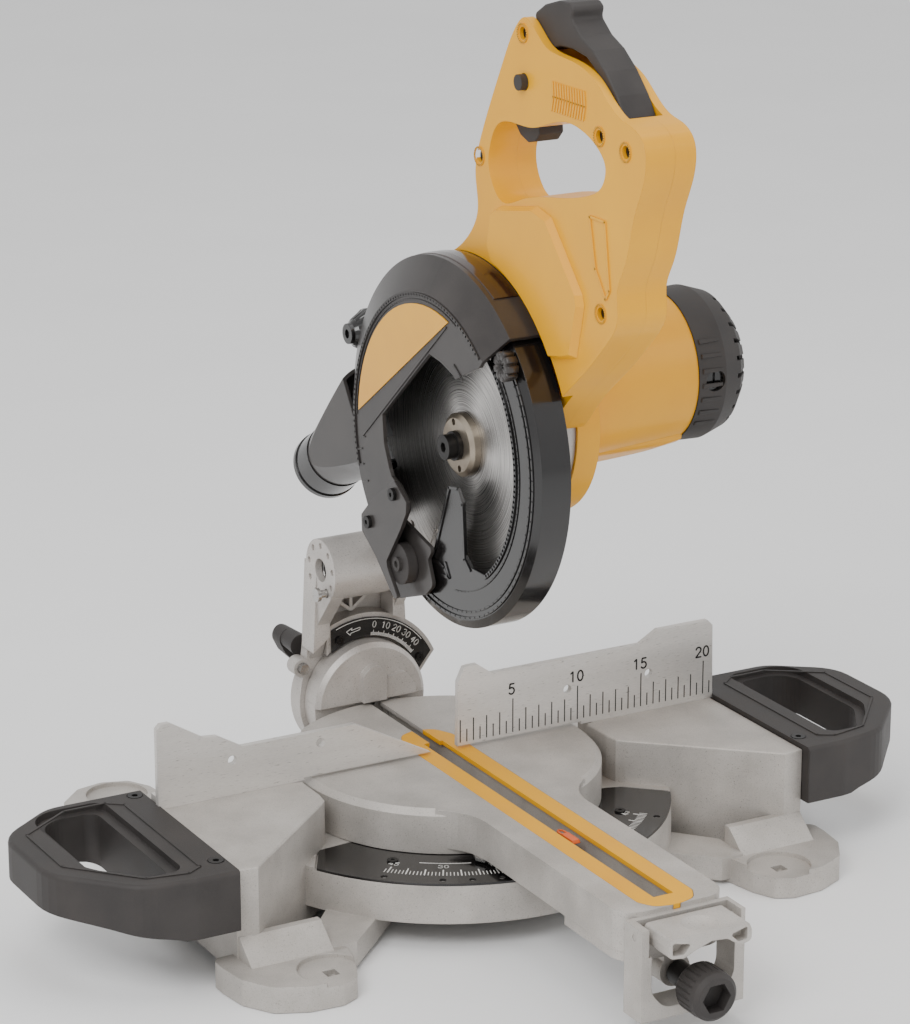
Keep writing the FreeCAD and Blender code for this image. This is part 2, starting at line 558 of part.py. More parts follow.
# flats for the scale plate
arc = turn_profile([(118.4, 44.0), (118.4, 60.5), (131, 60.5), (131, 44.0)], (0, 0, 0), "y").common(
    prism("xz", [(-27.6, 20), (-27.6, 90), (100, 90), (62.4, 33.5), (37.4, 1.8)], 110, 140))
ba = ba.cut([turn_profile([(105, 43.0), (105, 60.6), (118.4, 60.6), (118.4, 43.0)], (0, 0, 0), 'y').common(box(-27.6, 80, 100, 125, 0, 90))])
ba = fuse(ba, arc)
ba = ba.cut([cy(117, 123, 1.6, 48.2 * math.cos(math.radians(a)), 48.2 * math.sin(math.radians(a))) for a in (27, 113)])
ba = ba.cut([cx(8.0 - GAP, 20.0 + GAP, 30.0, PY, PZ).common(box(7.7, 20.3, 60, 127, 70, 140))])
ba = one(ba)
put("bevel_arm", ba)
bsp = turn_profile([(117.0, 43.6), (117.0, 57.5), (118.4, 57.5), (118.4, 43.6)], (0, 0, 0), "y").common(
    prism("xz", [(-24.6, 20), (-24.6, 90), (100, 90), (60, 35.4), (35, 3.7)], 110, 140))
bsp = bsp.cut([cy(116, 120, 1.7, 48.2 * math.cos(math.radians(a)), 48.2 * math.sin(math.radians(a))) for a in (27, 113)])
put("bevel_scale_plate", one(bsp))
put("bevel_scale_screws", *[screw((0, 1, 0), (48.2 * math.cos(math.radians(a)), 115.4, 48.2 * math.sin(math.radians(a))), 2.9, 1.6, 1.58, 6.5, 2.0) for a in (27, 113)])
put("bevel_stop_screw", fuse(hexagon("xz", 7, 121, 124.4, -43, 26), cy(124.4, 127.9, 3.9, -43, 26)))
shaft = fuse(cx(-31.5, 28.0, 7.98, PY, PZ), hexagon("yz", 19, 28.0, 35.0, PY, PZ))
put("pivot_shaft", one(shaft.cut([cx(-40, -22, 4.0, PY, PZ)])))
helix = Part.makeHelix(4.2, 33.6, 11.6)
prof = Part.Wire([Part.makeCircle(1.5, V(11.6, 0, 0), V(0, 1, 0))])
spring = Part.Wire(helix.Edges).makePipeShell([prof], True, True)
spring.rotate(V(0, 0, 0), V(0, 1, 0), 90)
spring.translate(V(-31.0, PY, PZ))
put("head_spring", spring)
put("lock_down_pin", fuse(cx(-43.5, 6.8, 2.7, 98, 87), cx(-46, -43.5, 4.6, 98, 87)))
# bevel clamp: threaded stud, washer and a lever behind the arm
lev = fuse(cy(139.4, 169, 17.5).cut(cy(138, 155.4, 14.3)), cy(130, 160, 4.9))
leva = prism("xz", [(-8, -6), (-40, 26), (-46, 38), (-38, 46), (-8, 16)], 157, 169, radii=[0, 6, 8, 8, 0])
leva = fuse(leva, cone_y(139.6, 169, 7.6, 6.2, -37, 37))
lev = fuse(lev, leva)
put("bevel_clamp_handle", one(lev))

# -------------------------------------------------------------------- head
GC_Y, GC_Z, GC_R = -30.0, 235.0, 64.0
GX0, GX1 = 14.0, 46.0
lug = cx(8.0, 20.0, 21.0, PY, PZ).cut([cx(7, 12.6, 19.8, PY, PZ).cut(cx(6, 14, 12.4, PY, PZ))])
dy, dz = AY - PY, AZ - PZ
L = math.hypot(dy, dz)
ny, nz = -dz / L, dy / L
armpts = [(PY + 13 * ny, PZ + 13 * nz), (AY + 26 * ny, AZ + 26 * nz), (AY - 30 * ny, AZ - 30 * nz), (PY - 17 * ny, PZ - 17 * nz)]
hc = fuse(lug, prism("yz", armpts, 8.0, 20.0).cut([cx(7, 12.6, 21.0, PY, PZ)]))
inset = [(PY - 34 * dy / -L + 7 * ny, PZ), ]
case = cx(GX0, GX1, GC_R, GC_Y, GC_Z)
hc = fuse(hc, case)
hc = fuse(hc, cx(3.6, 15, 26.0, AY, AZ))
# gearcase cavity, open on the right and closed by the motor housing
hc = hc.cut([cx(GX0 + 5, GX1 + 1, GC_R - 5, GC_Y, GC_Z)])
hc = fuse(hc, cx(GX0 + 4, 30, 19.0, AY, AZ), cx(GX0 + 4, 26, 14.0, MY, MZ).cut(cx(10, 50, 24, AY, AZ)))
hc = hc.cut([cx(0, 60, 10.0, AY, AZ), cx(0, 5.2, 12.6, AY, AZ), cx(5.0, 14.0, 14.0, AY, AZ), cx(20.0, 31, 14.0, AY, AZ)])
hc = hc.cut([cx(18, 27, 9.5, MY, MZ)])
hc = hc.cut([cx(0, 40, 8.0 + RUN, PY, PZ)])
# lightening pocket of the arm
pk = [(PY - 0.26 * 174 * 0.744 + 6 * ny, PZ + 0.26 * 174 * 0.672 + 6 * nz)]
hc = hc.cut([prism("yz", [(68, 146), (52, 160), (40, 148), (58, 134)], 7, 14, radii=4)])
put("head_casting", one(hc))

GUX0, GUX1 = -28.0, 12.5
outer = turn_profile([(GUX0, 0), (GUX0, 101), (-17, 122.5), (GUX1, 122.5), (GUX1, 0)], (0, AY, AZ), "x")
innr = turn_profile([(GUX0 + 2.6, 0), (GUX0 + 2.6, 99.4), (-15.6, 119.4), (GUX1 - 2.6, 119.4), (GUX1 - 2.6, 0)], (0, AY, AZ), "x")
ug = outer.cut(innr)


def pol(r, a, c=(AY, AZ)):
    return (c[0] + r * math.cos(math.radians(a)), c[1] + r * math.sin(math.radians(a)))


keepg = [pol(200, a) for a in range(-37, 133, 5)] + [pol(200, 132), pol(95, 133.5), pol(60, 120), (AY, AZ), (9, 167), pol(75, -40), pol(100, -38)]
ug = ug.common(prism("yz", keepg, -40, 30))
win = [(9, 167), (17, 178), (26, 192), (33, 207), (35, 226), (-28, 281), (-43, 279), (-60, 274), (-68, 265), (-76, 262),
       (-83, 262), (-105, 279), (-140, 270), (-140, 100), (0, 100)]
ug = ug.cut([prism("yz", win, -40, -20.0)])
# right-hand wall: open round the bearing boss and behind the gearcase
ug = ug.cut([cx(5, 20, 40.0, AY, AZ)])
# dust mouth at the rear
DU = V(0, 0.830, -0.5578)
d0 = V(-6, 74.6, 212.9)
duct_out = Part.makeCone(36, 22.0, 80, d0, DU)
duct_in = Part.makeCone(33.6, 19.4, 82, d0 - DU, DU)
clip = turn_profile([(GUX0 + 2.6, 0), (GUX0 + 2.6, 99.4), (-15.6, 119.4), (GUX1 - 2.6, 119.4), (GUX1 - 2.6, 0)], (0, AY, AZ), "x")
duct = duct_out.common(box(GUX0, 14.0, -60, 300, 0, 400)).cut(clip)
duct = duct.cut([cx(7.0, 30, 26, PY, PZ)])
ug = fuse(ug, one(duct))
# wall behind the link plate and the low bracket that carries the roller
ug = fuse(ug, prism("yz", [(13, 184), (1, 175.5), (1.5, 170), (9.5, 157), (24, 138), (34, 128), (57, 142), (57, 151), (44, 172), (30, 190)], GUX0, GUX0 + 2.6))
ug = fuse(ug, prism("yz", [(28, 140), (35, 131), (56, 143), (46, 160), (32, 158)], GUX0 + 1, -18.4))
ug = fuse(ug, prism("yz", [(-18.4, 148.3), (-12, 139.7), (-19, 124.2), (-8.5, 114.8), (27, 102), (36, 110), (52, 140), (44, 160), (18.4, 157)],
                    -20.6, -18.0, radii=[3, 3, 5, 5, 5, 5, 3, 3, 3]))
ug = ug.cut([duct_in.common(box(GUX0 + 2.5, 11.5, -60, 300, 0, 400))])
ug = ug.cut([cx(GUX0 - 1, -20.75, 14.2, 14, 130.7), prism("yz", armpts, 7.6, 30)])
ug = ug.cut([cx(13.9, 50, GC_R + 0.2, GC_Y, GC_Z), cx(12.0, 60, 21.0, PY, PZ)])
ug = one(ug)
put("upper_guard", ug)
DP0 = d0 + DU * 78
port = Part.makeCylinder(22.8, 23, DP0 + DU * 2, DU).cut(Part.makeCylinder(19.0, 40, DP0 - DU * 5, DU))
port = fuse(port, Part.makeCylinder(23.6, 4, DP0 + DU * 21, DU).cut(Part.makeCylinder(19.0, 40, DP0 - DU * 5, DU)))
put("dust_port", one(port))
knob_ = turn_profile([(-19, 0), (-19, 6.8), (-16.5, 7.2), (-14, 9), (-5, 14.5), (2, 14.5), (2, 0)], (0, 100.8, 263.3), "x")
put("dust_knob", one(knob_.cut([cx(-40, 20, 122.55, AY, AZ), cx(-20, -16.5, 3.0, 100.8, 263.3)])))

KITE = [(14.7, 187.5), (-2.2, 177.1), (-1.5, 169.3), (6.3, 156.2), (25.3, 130), (24.3, 125.5), (9.6, 108.3), (15.8, 107.5), (41, 129.2),
        (59.5, 141.1), (60.1, 152.2), (42.4, 169)]
put("link_plate", prism("yz", KITE, -30.8, -28.2, radii=2).cut([cx(-32, -27, 2.1, 15, 178), cx(-32, -27, 2.1, 49, 150)]))
LP = [(15, 178), (49, 150)]
put("link_screws", *[screw((1, 0, 0), (-33.2, a, b), 4.2, 2.4, 2.0, 8.0, 3.0) for a, b in LP])
NODES["upper_guard"] = [one(ug.cut([cx(-29, -24, 2.0, a, b) for a, b in LP]))]
put("guard_roller", fuse(cx(-27.9, -20.9, 13.6, 14, 130.7), cx(-29.9, -27.9, 4.8, 14, 130.7)).cut(cx(-31, -28.4, 2.2, 14, 130.7)))
BADGE = [pol(95, a, (AY - 3, AZ + 0)) for a in range(12, 109, 6)] + [(-50, 305), (59, 206)]
badge = prism("yz", [(pol(93, a)) for a in range(2, 112, 5)], -28.8, -28.05, radii=None)
badge = badge.cut([prism("yz", [(66, 203), (-52, 306), (-200, 306), (-200, 0), (200, 0), (200, 203)], -30, -27)])
put("guard_badge", one(badge))

# blade, flanges and spindle
teeth = []
n = 30
for k in range(n):
    a = 360.0 / n * k
    teeth += [pol(BLADE_R, a), pol(BLADE_R - 0.9, a - 2.2), pol(BLADE_R - 8.5, a - 4.2), pol(BLADE_R - 9.5, a + 1.2),
              pol(BLADE_R - 7.0, a + 0.9)]
teeth = []
for k in range(n):
    a = -360.0 / n * k
    teeth += [pol(BLADE_R, a), pol(BLADE_R - 0.9, a - 2.0), pol(BLADE_R - 4.5, a - 7.0), pol(BLADE_R - 9.0, a - 9.6),
              pol(BLADE_R - 8.6, a - 11.2)]
blade = prism("yz", teeth, -BLADE_T / 2, BLADE_T / 2)
blade = blade.cut([cx(-3, 3, BLADE_BORE, AY, AZ)])
slits = []
for k in range(4):
    a = 90.0 * k + 30
    s1 = prism("yz", [pol(78, a - 0.5), pol(78, a + 0.5), pol(101, a + 0.4), pol(101, a - 0.4)], -3, 3)
    slits += [s1, cx(-3, 3, 3.0, *pol(78, a))]
blade = blade.cut(slits)
put("blade", one(blade))
put("inner_flange", fuse(cx(0.9, 3.3, 24.5, AY, AZ), cx(-0.9, 0.95, 14.98, AY, AZ)).cut(cx(-5, 8, 7.0, AY, AZ)))
of_ = fuse(cx(-5.2, -0.9, 20.5, AY, AZ), cone_x(-7.4, -5.2, 17.5, 20.5, AY, AZ)).cut(cx(-9, 2, 4.1, AY, AZ))
of_ = of_.cut([cx(-9, -3.6, 2.2, *pol(15.0, 75)), cx(-9, -3.6, 2.2, *pol(15.0, 255))])
put("outer_flange", one(of_))
bolt = fuse(cx(-10.4, -7.4, 9.5, AY, AZ), cx(-17.0, -10.4, 8.0, AY, AZ), cx(-7.4, 12.0, 3.95, AY, AZ)).cut(hexagon("yz", 6, -18, -12, AY, AZ))
put("blade_bolt", one(bolt))
sp = fuse(cx(-0.9, 32.15, 6.98, AY, AZ), cx(3.3, 5.0, 12.0, AY, AZ), cx(5.0, 13.8, 7.5, AY, AZ), cx(20.2, 29.0, 7.5, AY, AZ), cx(29.0, 38.0, 6.9, AY, AZ))
sp = sp.cut([cx(-2, 14, 3.95, AY, AZ)])
put("spindle", one(sp))


def bearing(x0, x1, ro, ri, y, z):
    s = cx(x0, x1, ro, y, z).cut(cx(x0 - 1, x1 + 1, ri, y, z))
    return bevel(s, 0.4, lambda e: at_plane(0, x0)(e) or at_plane(0, x1)(e))



P1, P2 = 18.0, 12.0      # belt pulley radii: spindle, motor


def pulley(r, y, z, bore):
    pts = [(32.2, 0), (32.2, r + 1.2)]
    x = 32.2
    pts = [(32.2, 0), (32.2, r)]
    for k in range(4):
        x = 33.0 + k * 1.2
        pts += [(x, r), (x + 0.6, r - 1.0), (x + 1.2, r)]
    pts += [(38.6, r), (38.6, 0)]
    return turn_profile(pts, (0, y, z), "x").cut(cx(20, 50, bore, y, z))


put("spindle_pulley", one(pulley(P1, AY, AZ, 6.9)))
put("motor_pulley", one(pulley(P2, MY, MZ, 4.9)))
# ribbed belt: a closed band round both pulleys
cdist = math.hypot(MY - AY, MZ - AZ)
th = math.atan2(MZ - AZ, MY - AY)
ph = math.acos((P1 - P2) / cdist)


def band(off):
    pts = []
    for k in range(25):
        a = th + ph + (2 * math.pi - 2 * ph) * k / 24
        pts.append((AY + (P1 + off) * math.cos(a), AZ + (P1 + off) * math.sin(a)))
    for k in range(17):
        a = th - ph + 2 * ph * k / 16
        pts.append((MY + (P2 + off) * math.cos(a), MZ + (P2 + off) * math.sin(a)))
    return pts


belt = prism("yz", band(2.3), 32.8, 38.0).cut(prism("yz", band(0.45), 30, 40))
put("drive_belt", one(belt))

# lower guard: turns about the spindle boss inside the upper guard
LG = turn_profile([(-15, 20), (-15, 111), (-12.6, 116.4), (7.6, 116.4), (7.6, 20)], (0, AY, AZ), "x")
LGI = turn_profile([(-13, 0), (-13, 110.2), (-11.6, 114.2), (5.6, 114.2), (5.6, 0)], (0, AY, AZ), "x")
lg = LG.cut(LGI)
lg = lg.cut([cx(-20, 10, 26.0 + 0.35, AY, AZ)])
seg = [pol(150, a) for a in range(127, 296, 4)] + [pol(118, 296), pol(33, 285), pol(33, 137)]
hubring = cx(5.6, 7.6, 33.0, AY, AZ).cut(cx(0, 10, 26.35, AY, AZ))
lgs = lg.common(prism("yz", seg, -30, 30))
wl = [pol(86.5, a) for a in range(120, 236, 5)] + [(-59, 147), (-51, 153), (-48, 187), (-41, 195), (-31, 193), (-13, 149), (4, 128), (40, 100), (40, 260), (-40, 330)]
lgs = lgs.cut([prism("yz", wl, -20, -9)])
lgs = fuse(lgs, hubring)
put("lower_guard", one(lgs))

# ------------------------------------------------- handle shells and motor
HOUSE = [(8, 335), (-20, 352), (-31, 371), (-28, 392), (-34, 415), (-47, 441), (-63, 470), (-76, 490), (-88, 498),
         (-97, 494), (-112, 484), (-130, 481), (-150, 479), (-168, 473), (-184, 462), (-198, 455), (-212, 452),
         (-223, 444), (-225, 432), (-214, 402), (-203, 368), (-196, 352), (-197, 338), (-186, 320),
         (-150, 287), (-118, 258), (-100, 243), (-88, 262), (-60, 292), (-20, 305), (4, 315)]
OPEN = [(-45, 410), (-47, 393), (-60, 381), (-83, 386), (-122, 395), (-163, 404), (-178, 413), (-181, 424), (-172, 434),
        (-155, 441), (-137, 443), (-118, 439), (-98, 433), (-76, 432), (-56, 428)]
CAV = [(2, 330), (-22, 345), (-36, 362), (-60, 372), (-84, 376), (-130, 388), (-168, 396), (-188, 408), (-196, 425), (-199, 440),
       (-212, 440), (-216, 430), (-206, 402), (-196, 372), (-190, 356), (-190, 340), (-178, 322), (-146, 293), (-116, 266), (-100, 256), (-88, 270), (-58, 300), (-20, 312)]
XL, XR = 5.0, 39.0
outerp = Part.Face(smooth_wire("yz", HOUSE, XL)).extrude(V(XR - XL, 0, 0))
outerp = outerp.cut(Part.Face(smooth_wire("yz", OPEN, XL - 1)).extrude(V(60, 0, 0)))
outerp = one(outerp)
outerp = soften(outerp, 6.0, lambda e: at_plane(0, XL)(e) or at_plane(0, XR)(e))
cav = Part.Face(poly_wire("yz", rounded(CAV, 3), XL + 3)).extrude(V(XR - XL - 6, 0, 0))
grip_cav = prism("yz", [(-40, 418), (-52, 442), (-66, 468), (-80, 486), (-92, 488), (-110, 476), (-150, 472), (-172, 462), (-190, 450), (-176, 444), (-150, 450), (-120, 448), (-96, 441), (-70, 440), (-50, 434)], XL + 3.5, XR - 3.5, radii=3)
hollow = outerp.cut([cav, grip_cav])
hollow = hollow.cut([cx(XL - 1, 60, GC_R + 0.1, GC_Y, GC_Z).common(box(13.8, 60, -200, 100, 100, 400)),
                     cx(XL - 1, 12.7, 122.8, AY, AZ)])
# mouth for the trigger below the grip, slot for the release lever above it
hollow = hollow.cut([box(13.0, 31.0, -92.3, -56.0, 415, 447)])
hollow = hollow.cut([cx(0, 20, 5.2, -87, 459)])
SCR = [(-85, 488), (-33, 404), (-70, 372), (-174, 441), (-203, 437), (-178, 336)]
for a, b in SCR:
    hollow = hollow.cut([cx(0, XL + 4.5, 4.0, a, b)])
posts = [cx(XL + 4.5, XR - 0.5, 4.4, a, b) for a, b in SCR]
hollow = fuse(hollow, *[q.common(outerp) for q in posts])
hollow = hollow.cut([cx(XL - 1, XR - 6, 2.0, a, b) for a, b in SCR])
hollow = hollow.cut([cx(0, XL + 5.5, 4.0, a, b) for a, b in SCR])
lefth = hollow.common(box(0, PARTING_X, -400, 200, 100, 600))
righth = hollow.common(box(PARTING_X, 60, -400, 200, 100, 600))
put("housing_left", one(lefth))
put("housing_right", one(righth))
put("housing_screws", *[fuse(cx(XL + 2.6, XL + 5.5, 3.7, a, b), cx(XL + 5.5, XR - 8, 1.95, a, b)).cut(cx(XL + 2, XL + 4.2, 1.6, a, b)) for a, b in SCR])

MX0, MX1, MX2 = 46.0, 140.0, 186.0
mh = fuse(cx(MX0, 56, GC_R + 2.4, GC_Y, GC_Z), cx(39.4, 47, GC_R + 2.4, GC_Y, GC_Z).cut(cx(39, 48, GC_R + 0.15, GC_Y, GC_Z)))
barrel = cone_x(50, MX1, 53, 49, MY, MZ)
rear_pod = prism("yz", [(-75, 262), (-44, 300), (-20, 303), (0, 292), (-20, 250)], 50, MX1, radii=6)
under = prism("yz", [(-60, 208), (-30, 192), (0, 206), (0, 250), (-60, 250)], 50, MX1 + 10, radii=10)
mh = fuse(mh, barrel)
mh = fuse(mh, under.common(cone_x(50, MX1 + 10, 62, 50, MY, MZ)))
mh = mh.cut([cone_x(60, MX1 + 11, 48.5, 44.5, MY, MZ), cx(45, 61, 36, MY, MZ), ])
mh = mh.cut([cx(MX1 - 0.01, MX1 + 20, 51.2, MY, MZ)])
bell = cx(50, 60, 40, MY, MZ).cut(cx(45, 65, 11.0, MY, MZ))
for k in range(6):
    a = 60 * k
    bell = bell.cut([cx(45, 65, 6.0, *pol(26, a, (MY, MZ)))])
mh = fuse(mh, bell)
put("motor_housing", one(mh))
ec = turn_profile([(MX1 + 0.0, 44.2), (MX1 + 0.0, 49.8), (160, 50.5), (174, 46.0), (183, 36.0), (186, 22), (186, 0), (183, 0), (183, 20),
                   (180.5, 34), (172, 43.0), (159, 47.0), (MX1 + 4, 46.6), (MX1 + 4, 44.2)], (0, MY, MZ), "x")
vents = []
for k in range(9):
    a = 20 + 14 * k
    b = box(160, 190, -1.4, 1.4, 34, 47)
    b.rotate(V(0, 0, 0), V(1, 0, 0), a)
    b.translate(V(0, MY, MZ))
    vents.append(b)
ec = ec.cut(vents)
ec = fuse(ec, cx(176, 184, 12, MY, MZ)).cut([cx(170, 181, 9.5, MY, MZ)])
for s in (1, -1):
    a, b = pol(47.5, 90 - 90 * s + 180, (MY, MZ))
    ec = ec.cut([Part.makeCylinder(7.0, 14, V(152, MY + s * 40, MZ), V(0, s, 0))])
ec = one(ec)
put("motor_end_cap", ec)
caps = []
for s in (1, -1):
    c = Part.makeCylinder(6.95, 5.0, V(152, MY + s * 42.5, MZ), V(0, s, 0))
    c = c.cut([box(151.2, 152.8, MY - 60, MY + 60, MZ - 5, MZ + 5).common(
        Part.makeCylinder(7, 1.5, V(152, MY + s * 46.0, MZ), V(0, s, 0)))])
    caps.append(one(c))
put("brush_caps", *caps)
stator = cx(66, 118, 43.5, MY, MZ).cut(cx(60, 130, 27.5, MY, MZ))
stator = stator.cut([cx(60, 130, 5.5, *pol(35.5, 60 + 60 * k, (MY, MZ))) for k in (0, 2, 3, 5)])
stator = fuse(stator, *[box(70, 112, MY - 4, MY + 4, MZ + s * 45.2 - 2.6, MZ + s * 45.2 + 2.6).common(cx(60, 130, 46.2, MY, MZ)) for s in (1, -1)])
put("stator", one(stator))
sh_ = fuse(cx(18.4, 40, 4.9, MY, MZ), cx(40, 176, 6.0, MY, MZ), cx(124, 144, 13.0, MY, MZ), cx(176, 180.8, 3.9, MY, MZ))
put("armature_shaft", one(sh_))
core = cx(68, 116, 26.8, MY, MZ).cut(cx(60, 130, 6.0, MY, MZ))
core = core.cut([cx(60, 130, 2.3, *pol(25.1, 30 * k, (MY, MZ))) for k in range(12)])
put("armature_core", one(core))
fan = fuse(cx(61, 63, 40, MY, MZ), cx(61, 66, 10, MY, MZ))
blades_ = []
for k in range(12):
    b = box(60.8, 65.5, -0.8, 0.8, 22, 38)
    b.rotate(V(0, 0, 0), V(1, 0, 0), 30 * k)
    b.translate(V(0, MY, MZ))
    blades_.append(b)
fan = fuse(fan, *blades_).cut([cx(50, 70, 6.0, MY, MZ)])
put("motor_fan", one(fan))
put("ball_bearings", bearing(5.2, 13.8, 13.98, 7.5 + RUN, AY, AZ), bearing(20.4, 28.8, 13.98, 7.5 + RUN, AY, AZ),
    bearing(18.6, 26.8, 9.48, 4.9 + RUN, MY, MZ), bearing(50.6, 59.4, 10.98, 6.0 + RUN, MY, MZ),
    bearing(176.2, 180.8, 9.48, 3.9 + RUN, MY, MZ))
# cable gland on the right-hand shell, below the grip, facing rearward
put("cable_gland", fuse(cy(-30, -18, 5.5, 31.2, 352), cy(-18, -2, 4.6, 31.2, 352)).cut(cy(-40, 0, 2.9, 31.2, 352)))
put("switch_module", box(10.0, 34.0, -80, -64.5, 447.3, 462))

# controls in the handle
TRG = [(-56, 428), (-58, 438), (-90, 438), (-91, 428), (-86, 421.5), (-77, 419.5), (-68, 422.5), (-60, 431)]
trg = fuse(prism("yz", [(-57, 430), (-60, 439.5), (-90, 439.5), (-91.5, 427), (-86, 421.5), (-77, 419.5), (-68, 422.5), (-61, 429)], 13.5, 30.5, radii=2))
trg = soften(trg, 2.0, lambda e: (at_plane(0, 13.5)(e) or at_plane(0, 30.5)(e)) and e.BoundBox.ZMax < 433)
put("trigger", one(trg))
put("lock_off_button", cx(0.5, 14.0, 4.9, -87, 459))
LEV_T = [(-88, 500), (-100, 507), (-116, 511.5), (-128, 512), (-133, 509), (-131, 502.5), (-142, 494), (-156, 488), (-170, 478), (-183, 465.5),
         (-193, 452)]
LEV_B = [(-186, 446.5), (-177, 459), (-163, 474), (-148, 482.5), (-132, 485), (-118, 484.5), (-106, 480), (-94, 489)]
levr = prism("yz", LEV_T + LEV_B, 11.0, 33.0, radii=3)
levr = soften(levr, 2.5, lambda e: at_plane(0, 11.0)(e) or at_plane(0, 33.0)(e))
levr = fuse(levr, cx(8.4, 35.6, 2.0, -187, 452))
put("release_lever", one(levr))

# the release lever needs its own pocket in the column, and both it and its pin clear
for name in ("housing_left", "housing_right"):
    h = NODES[name][0]
    pocket_ = prism("yz", [(-198, 458), (-197, 445), (-184, 440), (-160, 463), (-126, 473), (-84, 471), (-76, 500), (-120, 520), (-190, 480)], 10.6, 33.4)
    if name == "housing_right":
        h = h.cut([cy(-40, 10, 5.5, 31.2, 352)])
    h = h.cut([pocket_, cx(8.2, 35.8, 2.0 + RUN, -187, 452)])
    NODES[name] = [one(h)]


# --------------------------------------------------------------- write out
for name, shapes in NODES.items():
    solids = []
    for s in shapes:
        s = s.copy()
        s.translate(SHIFT)
        solids += list(s.Solids)
    shape = solids[0] if len(solids) == 1 else Part.makeCompound(solids)
    shape.exportStep("parts/%s.step" % name)
print(len(NODES), "nodes")
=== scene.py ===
import math
import bpy
import bmesh
from mathutils import Matrix, Vector


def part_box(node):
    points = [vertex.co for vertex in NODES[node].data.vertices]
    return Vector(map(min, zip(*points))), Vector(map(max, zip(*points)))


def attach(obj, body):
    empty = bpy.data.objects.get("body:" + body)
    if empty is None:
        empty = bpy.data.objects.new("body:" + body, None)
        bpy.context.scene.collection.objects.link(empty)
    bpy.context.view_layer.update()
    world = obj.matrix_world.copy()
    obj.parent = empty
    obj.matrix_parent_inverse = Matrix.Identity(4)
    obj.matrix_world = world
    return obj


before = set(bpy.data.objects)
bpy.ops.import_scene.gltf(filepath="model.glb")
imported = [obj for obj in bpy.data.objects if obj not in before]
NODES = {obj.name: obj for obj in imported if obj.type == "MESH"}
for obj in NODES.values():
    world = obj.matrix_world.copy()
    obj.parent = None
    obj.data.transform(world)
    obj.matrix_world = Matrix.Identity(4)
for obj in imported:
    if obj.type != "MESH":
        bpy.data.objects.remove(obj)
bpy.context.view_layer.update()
MM = 0.001


def V(x, y, z):
    """Fence frame, millimetres, to the row frame in metres."""
    return Vector((x * MM, (y - 10.0) * MM, (z + 75.0) * MM))


# ------------------------------------------------------------------ materials
def new_material(name):
    m = bpy.data.materials.new(name)
    m.use_nodes = True
    t = m.node_tree
    for n in list(t.nodes):
        t.nodes.remove(n)
    out = t.nodes.new("ShaderNodeOutputMaterial")
    s = t.nodes.new("ShaderNodeBsdfPrincipled")
    t.links.new(s.outputs["BSDF"], out.inputs["Surface"])
    return m, t, s


def lin(c):
    return tuple(((v / 255.0) / 12.92 if v / 255.0 <= 0.04045 else ((v / 255.0 + 0.055) / 1.055) ** 2.4) for v in c) + (1.0,)


def noise(t, co, scale, detail=4.0, rough=0.55):
    n = t.nodes.new("ShaderNodeTexNoise")
    n.inputs["Scale"].default_value = scale
    n.inputs["Detail"].default_value = detail
    n.inputs["Roughness"].default_value = rough
    t.links.new(co, n.inputs["Vector"])
    return n.outputs["Fac"]


def ramp(t, fac, stops):
    r = t.nodes.new("ShaderNodeValToRGB")
    r.color_ramp.elements[0].position = stops[0][0]
    r.color_ramp.elements[0].color = stops[0][1]
    r.color_ramp.elements[1].position = stops[-1][0]
    r.color_ramp.elements[1].color = stops[-1][1]
    for p, c in stops[1:-1]:
        r.color_ramp.elements.new(p).color = c
    t.links.new(fac, r.inputs["Fac"])
    return r.outputs["Color"]


def grey(v):
    return (v, v, v, 1.0)


def bump(t, s, height, strength, distance, below=None):
    b = t.nodes.new("ShaderNodeBump")
    b.inputs["Strength"].default_value = strength
    b.inputs["Distance"].default_value = distance
    t.links.new(height, b.inputs["Height"])
    if below is not None:
        t.links.new(below, b.inputs["Normal"])
    t.links.new(b.outputs["Normal"], s.inputs["Normal"])
    return b.outputs["Normal"]


def coords(t, scale=(1, 1, 1)):
    c = t.nodes.new("ShaderNodeTexCoord")
    m = t.nodes.new("ShaderNodeMapping")
    m.inputs["Scale"].default_value = scale
    t.links.new(c.outputs["Object"], m.inputs["Vector"])
    return m.outputs["Vector"]


